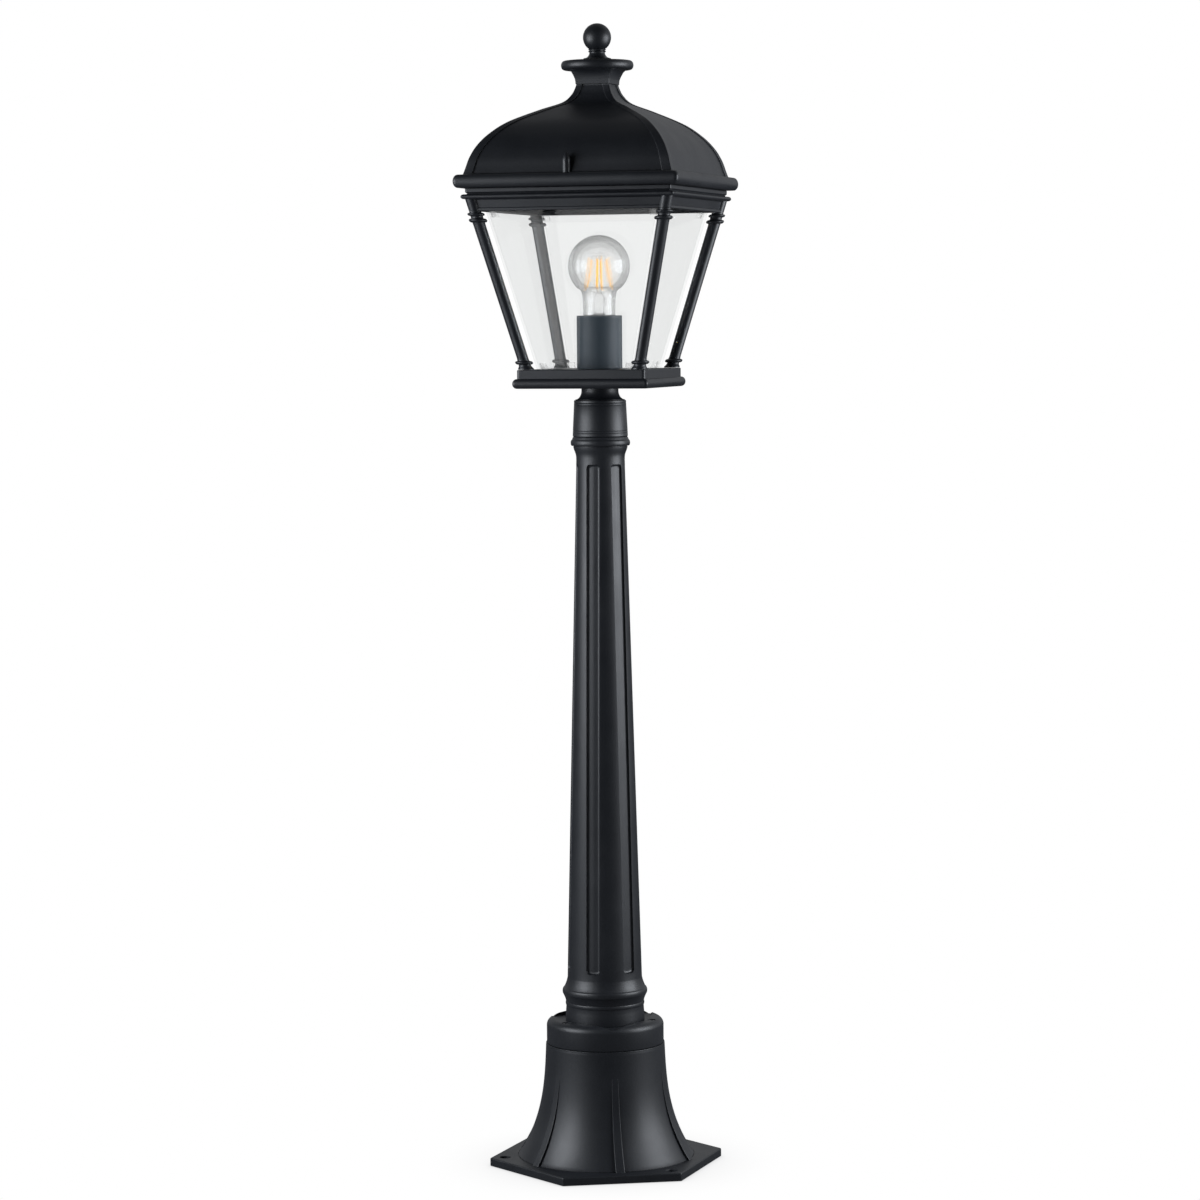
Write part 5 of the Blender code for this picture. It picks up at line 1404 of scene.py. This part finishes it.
# %% [markdown]
# ## Lampholder sleeve and core
#
# A sleeve hides the wires and the ceramic core. It is black like the rest, painted slate grey to stand in for
# the haze of the pane in front of it. Its rim is rounded where it was spun over. The core keeps its glazed
# lip, and the threaded shell inside it is left as the CAD part.

# %% Lampholder


def make_sleeve():
    foot, top = foot_of("lampholder_sleeve"), top_of("lampholder_sleeve")
    radius, wall = reach_of("lampholder_sleeve"), 1.5 * MM
    inner, floor = radius - wall, foot + wall
    outline = [(TUBE_HOLE, foot), (radius, foot, 0.6 * MM), (radius, top, 0.7 * MM), (inner, top, 0.5 * MM),
               (inner, floor), (TUBE_HOLE, floor)]
    sleeve = finished("sleeve", turned(softened(outline)), SLEEVE_PAINTED_HAZE)
    return placed(sleeve, "pillar", "sleeve_coat", "lampholder_sleeve")


def make_core():
    foot, top = foot_of("lampholder_core"), top_of("lampholder_core")
    radius, bore, floor = 18.5 * MM, 14.7 * MM, foot + 8 * MM
    lip = radius - 0.8 * MM
    outline = [(0, foot), (radius, foot, 0.8 * MM), (radius, top - 3 * MM, 0.4 * MM), (lip, top - 2.4 * MM),
               (lip, top, 0.8 * MM), (bore, top, 0.8 * MM), (bore, floor), (0, floor)]
    core = finished("ceramic_core", turned(softened(outline)), CERAMIC)
    return placed(core, "pillar", "ceramic", "lampholder_core")


make_sleeve()
make_core()

# %% [markdown]
# ## Lamp envelope and cap
#
# The bulb is blown from thin clear glass: a straight neck that swells into a ball. Its skin has a true inner
# wall, because the dark line round a glass ball comes from light bending through both. The metal cap below
# has a rolled thread, drawn as a row of ripples.

# %% Envelope
LAMP_CAP_TOP = top_of("lamp_cap")
BULB_TOP = top_of("lamp_bulb")
BULB_RADIUS = 30 * MM
BULB_CENTRE = BULB_TOP - BULB_RADIUS
BULB_WALL = 0.6 * MM


def envelope_line():
    neck = 15.6 * MM
    foot = LAMP_CAP_TOP + CLEAR
    points = [(12.8 * MM, foot), (neck - 0.3 * MM, foot + 2 * MM), (neck, foot + 5 * MM),
              (neck + 0.1 * MM, foot + 14 * MM), (neck + 0.8 * MM, foot + 22 * MM),
              (neck + 2.6 * MM, foot + 26.6 * MM), (0.714 * BULB_RADIUS, BULB_CENTRE - 0.70 * BULB_RADIUS)]
    return smooth_curve(points, 8) + arc(0, BULB_CENTRE, BULB_RADIUS, BULB_RADIUS, -41, 90, 48)


def make_envelope():
    outside = envelope_line()
    inside = []
    for before, here, after in zip([outside[0], *outside], outside, [*outside[1:], outside[-1]]):
        along = Vector((after[0] - before[0], after[1] - before[1])).normalized()
        inside.append((max(here[0] - BULB_WALL * along.y, 0), here[1] + BULB_WALL * along.x))
    inside[0] = (outside[0][0] - BULB_WALL, outside[0][1])
    inside[-1] = (0, outside[-1][1] - BULB_WALL)
    bulb = finished("envelope", turned(outside + inside[::-1], 128), LAMP_GLASS)
    return placed(bulb, "lamp", "lamp_glass", "lamp_bulb")


def make_lamp_cap():
    low, top = foot_of("lamp_cap"), LAMP_CAP_TOP
    radius, inner = 13.1 * MM, 11.9 * MM
    outline = [(0, low), (inner - 1.4 * MM, low, 0.4 * MM), (radius - 0.9 * MM, low + 2.4 * MM)]
    for i in range(73):
        rise = i / 72
        ripple = 0.5 * MM * (1 - math.cos(math.tau * 4 * rise)) / 2
        outline.append((radius - 0.9 * MM + ripple, low + 2.6 * MM + rise * 13 * MM))
    outline += [(radius, top - 3 * MM), (radius, top), (inner, top), (inner, low + 3 * MM), (0, low + 3 * MM)]
    cap = finished("lamp_cap_shell", turned(softened(outline), 96), NICKEL)
    return placed(cap, "lamp", "lamp_metal", "lamp_cap")


make_envelope()
make_lamp_cap()

# %% [markdown]
# ## Stem, wires and filaments
#
# A glass stem with a flattened pinch carries a star of fine wires at the top and another below. Four filament
# sticks lean out from the upper star to the lower one, each with a bright metal end. A stick is drawn once
# and copied round the stem.

# %% Stem and wires
FILAMENT_YAW = math.radians(5.6)
FILAMENT_FOOT, FILAMENT_TOP = foot_of("lamp_filament_1"), top_of("lamp_filament_1")
TOP_CIRCLE, FOOT_CIRCLE = 6.9 * MM, 11.6 * MM


def make_stem():
    foot = LAMP_CAP_TOP + CLEAR
    top = top_of("lamp_stem")
    sections = ((9, 0, 1), (7, 1.2, 1), (5.7, 3.2, 1), (5.3, 6, 1), (5.3, 12, 1), (5.6, 14, 0.85),
                (6.2, 16.5, 0.5), (6, 19, 0.42), (4.2, 21.6, 0.5), (2.2, 23.6, 0.8), (1.3, 25.6, 1))
    rings = []
    for radius, height, flat in sections:
        rings.append([(x, y * flat, z) for x, y, z in circle(radius * MM, foot + height * MM, 40)])
    rings += [circle(1.15 * MM, height, 40) for height in (top - 3 * MM, top - 0.8 * MM)]
    rings.append(circle(0.7 * MM, top, 40))
    stem = finished("glass_stem", ringed(rings, False), LAMP_GLASS)
    return placed(stem, "lamp", "lamp_glass", "lamp_stem")


def wire(points, radius, name, finish=NICKEL, sides=10):
    """A round wire along points, as a closed mesh."""
    rings = []
    for i, point in enumerate(points):
        before, after = Vector(points[max(i - 1, 0)]), Vector(points[min(i + 1, len(points) - 1)])
        along = (after - before).normalized()
        side = along.cross((0.1, 0.97, 0.2)).normalized()
        other = along.cross(side)
        ring = []
        for k in range(sides):
            angle = math.tau * k / sides
            ring.append(tuple(Vector(point) + radius * (math.cos(angle) * side + math.sin(angle) * other)))
        rings.append(ring)
    return finished(name, ringed(rings, False), finish)


def make_star(name, node, points):
    """Four wires round the stem, each along the same points."""
    star = wire(smooth_curve(points, 4), 0.35 * MM, name)
    repeated(star, 4, FILAMENT_YAW)
    return placed(star, "lamp", "lamp_metal", node)


def make_wires():
    top = top_of("lamp_wires_upper") - 0.4 * MM
    make_star("star_wires_upper", "lamp_wires_upper", [
        (0.9 * MM, 0, top - 0.2 * MM), (3.5 * MM, 0, top), (TOP_CIRCLE - 0.6 * MM, 0, top),
        (TOP_CIRCLE, 0, top - 0.25 * MM)])
    low = foot_of("lamp_wires_lower") + 0.4 * MM
    make_star("star_wires_lower", "lamp_wires_lower", [
        (1.6 * MM, 0, low - 2.6 * MM), (4.5 * MM, 0, low - 1.4 * MM), (8.5 * MM, 0, low - 0.2 * MM),
        (FOOT_CIRCLE, 0, low)])


def stick(name, start, end, radius, finish):
    """A stick along the line of a filament, between two shares of its length."""

    def at(share):
        out = FOOT_CIRCLE + (TOP_CIRCLE - FOOT_CIRCLE) * share
        return out, 0, FILAMENT_FOOT + (FILAMENT_TOP - FILAMENT_FOOT) * share

    points = [at(start), at(start + 0.01), at((start + end) / 2), at(end - 0.01), at(end)]
    made = wire(points, radius, name, finish, 16)
    repeated(made, 4, FILAMENT_YAW)
    return made


make_stem()
make_wires()
filaments = stick("filaments", 0.075, 0.925, 1.05 * MM, PHOSPHOR_WITH_PAINTED_GLOW)
placed(filaments, "lamp", "filament", *(f"lamp_filament_{i}" for i in (1, 2, 3, 4)))
placed(stick("filament_feet", 0.0, 0.075, 0.55 * MM, NICKEL), "lamp", "lamp_metal")
placed(stick("filament_heads", 0.925, 1.0, 0.55 * MM, NICKEL), "lamp", "lamp_metal")

# %% [markdown]
# ## Floor, backdrop and light
#
# A black object in a white studio is drawn by what it mirrors. Broad soft lights on both sides lay a pale
# band down each edge of the post. The space towards the camera stays dark, which leaves the deep stripe in
# the middle. What the eye sees behind the object is white, so the glass reads clear, but what the coat
# mirrors is a dim room that grows lighter towards the back.

# %% Studio
FLOOR_REACH = 30
ROOM_FRONT = 0.035
ROOM_BACK = 0.42
BRIGHTEST_TURN = math.radians(180 - 25)
LIGHT_AIM = Vector((0, 0, 0.6))
LIGHT_COLOUR = (0.9, 0.94, 1)


def seen_directly(tree):
    """1 on rays that reach the eye, straight or through glass, and 0 on rays that light or mirror."""
    rays = tree.nodes.new("ShaderNodeLightPath").outputs
    either = maths(tree, "MAXIMUM", rays["Is Camera Ray"], rays["Is Transmission Ray"])
    bounces = maths(tree, "ADD", rays["Diffuse Depth"], rays["Glossy Depth"])
    return maths(tree, "MULTIPLY", either, maths(tree, "LESS_THAN", bounces, 0.5))


def make_floor():
    shape = bmesh.new()
    corners = ((-1, -1), (1, -1), (1, 1), (-1, 1))
    shape.faces.new([shape.verts.new((FLOOR_REACH * x, FLOOR_REACH * y, 0)) for x, y in corners])
    made, tree, shader = new_finish("studio_floor")
    drift = noise(tree, 3, 2.0)
    pale = blended(tree, spread(tree, drift, 0, 1), (0.16, 0.16, 0.165), (0.18, 0.18, 0.185))
    tree.links.new(pale, shader.inputs["Base Color"])
    shader.inputs["Roughness"].default_value = 0.9
    shader.inputs["Specular IOR Level"].default_value = 0.1
    # The floor glows white to the eye, darkened by ambient occlusion near the object: a painted contact
    # shadow.
    near = tree.nodes.new("ShaderNodeAmbientOcclusion")
    near.inputs["Distance"].default_value = 0.1
    glow = tree.nodes.new("ShaderNodeEmission")
    shade = blended(tree, near.outputs["AO"], (0.55, 0.55, 0.56), (1, 1, 1))
    tree.links.new(shade, glow.inputs["Color"])
    mixed(tree, seen_directly(tree), shader, glow)
    floor = finished("studio_floor", shape, made)
    floor.data.transform(Matrix.Translation((0, 0, -0.2 * MM)))


# %% Lights


def soft_light(name, azimuth, distance, height, wide, tall, power):
    """An upright area light round the object, turned to face the post."""
    light = bpy.data.lights.new(name, "AREA")
    light.shape = "RECTANGLE"
    light.size, light.size_y = wide, tall
    light.energy = power
    light.color = LIGHT_COLOUR
    made = bpy.data.objects.new(name, light)
    bpy.context.scene.collection.objects.link(made)
    made.location = (*around(CAMERA_AZIMUTH + math.radians(azimuth), distance), height)
    made.rotation_euler = (LIGHT_AIM - made.location).to_track_quat("-Z", "Y").to_euler()


def make_sky():
    sky = bpy.data.worlds.new("white_studio")
    sky.use_nodes = True
    bpy.context.scene.world = sky
    tree = sky.node_tree
    backdrop = tree.nodes["Background"]
    backdrop.inputs["Color"].default_value = (1, 1, 1, 1)
    room = tree.nodes.new("ShaderNodeBackground")
    room.inputs["Color"].default_value = (0.95, 0.97, 1, 1)
    place = tree.nodes.new("ShaderNodeTexCoord")
    depth = tree.nodes.new("ShaderNodeVectorMath")
    depth.operation = "DOT_PRODUCT"
    away = around(CAMERA_AZIMUTH + BRIGHTEST_TURN, 1)
    depth.inputs[1].default_value = (*away, -0.12)
    tree.links.new(place.outputs["Generated"], depth.inputs[0])
    fade = tree.nodes.new("ShaderNodeMapRange")
    fade.interpolation_type = "SMOOTHSTEP"
    fade.inputs["From Min"].default_value = -0.35
    fade.inputs["From Max"].default_value = 0.85
    fade.inputs["To Min"].default_value = ROOM_FRONT
    fade.inputs["To Max"].default_value = ROOM_BACK
    tree.links.new(depth.outputs["Value"], fade.inputs["Value"])
    tree.links.new(fade.outputs["Result"], room.inputs["Strength"])
    mixed(tree, seen_directly(tree), room, backdrop, "World Output")


make_floor()
make_sky()
soft_light("left_softbox", azimuth=-67, distance=1.5, height=0.85, wide=1.05, tall=1.0, power=26)
soft_light("right_softbox", azimuth=80, distance=1.5, height=0.85, wide=1.0, tall=1.0, power=26)
bpy.context.scene.view_settings.view_transform = "Standard"
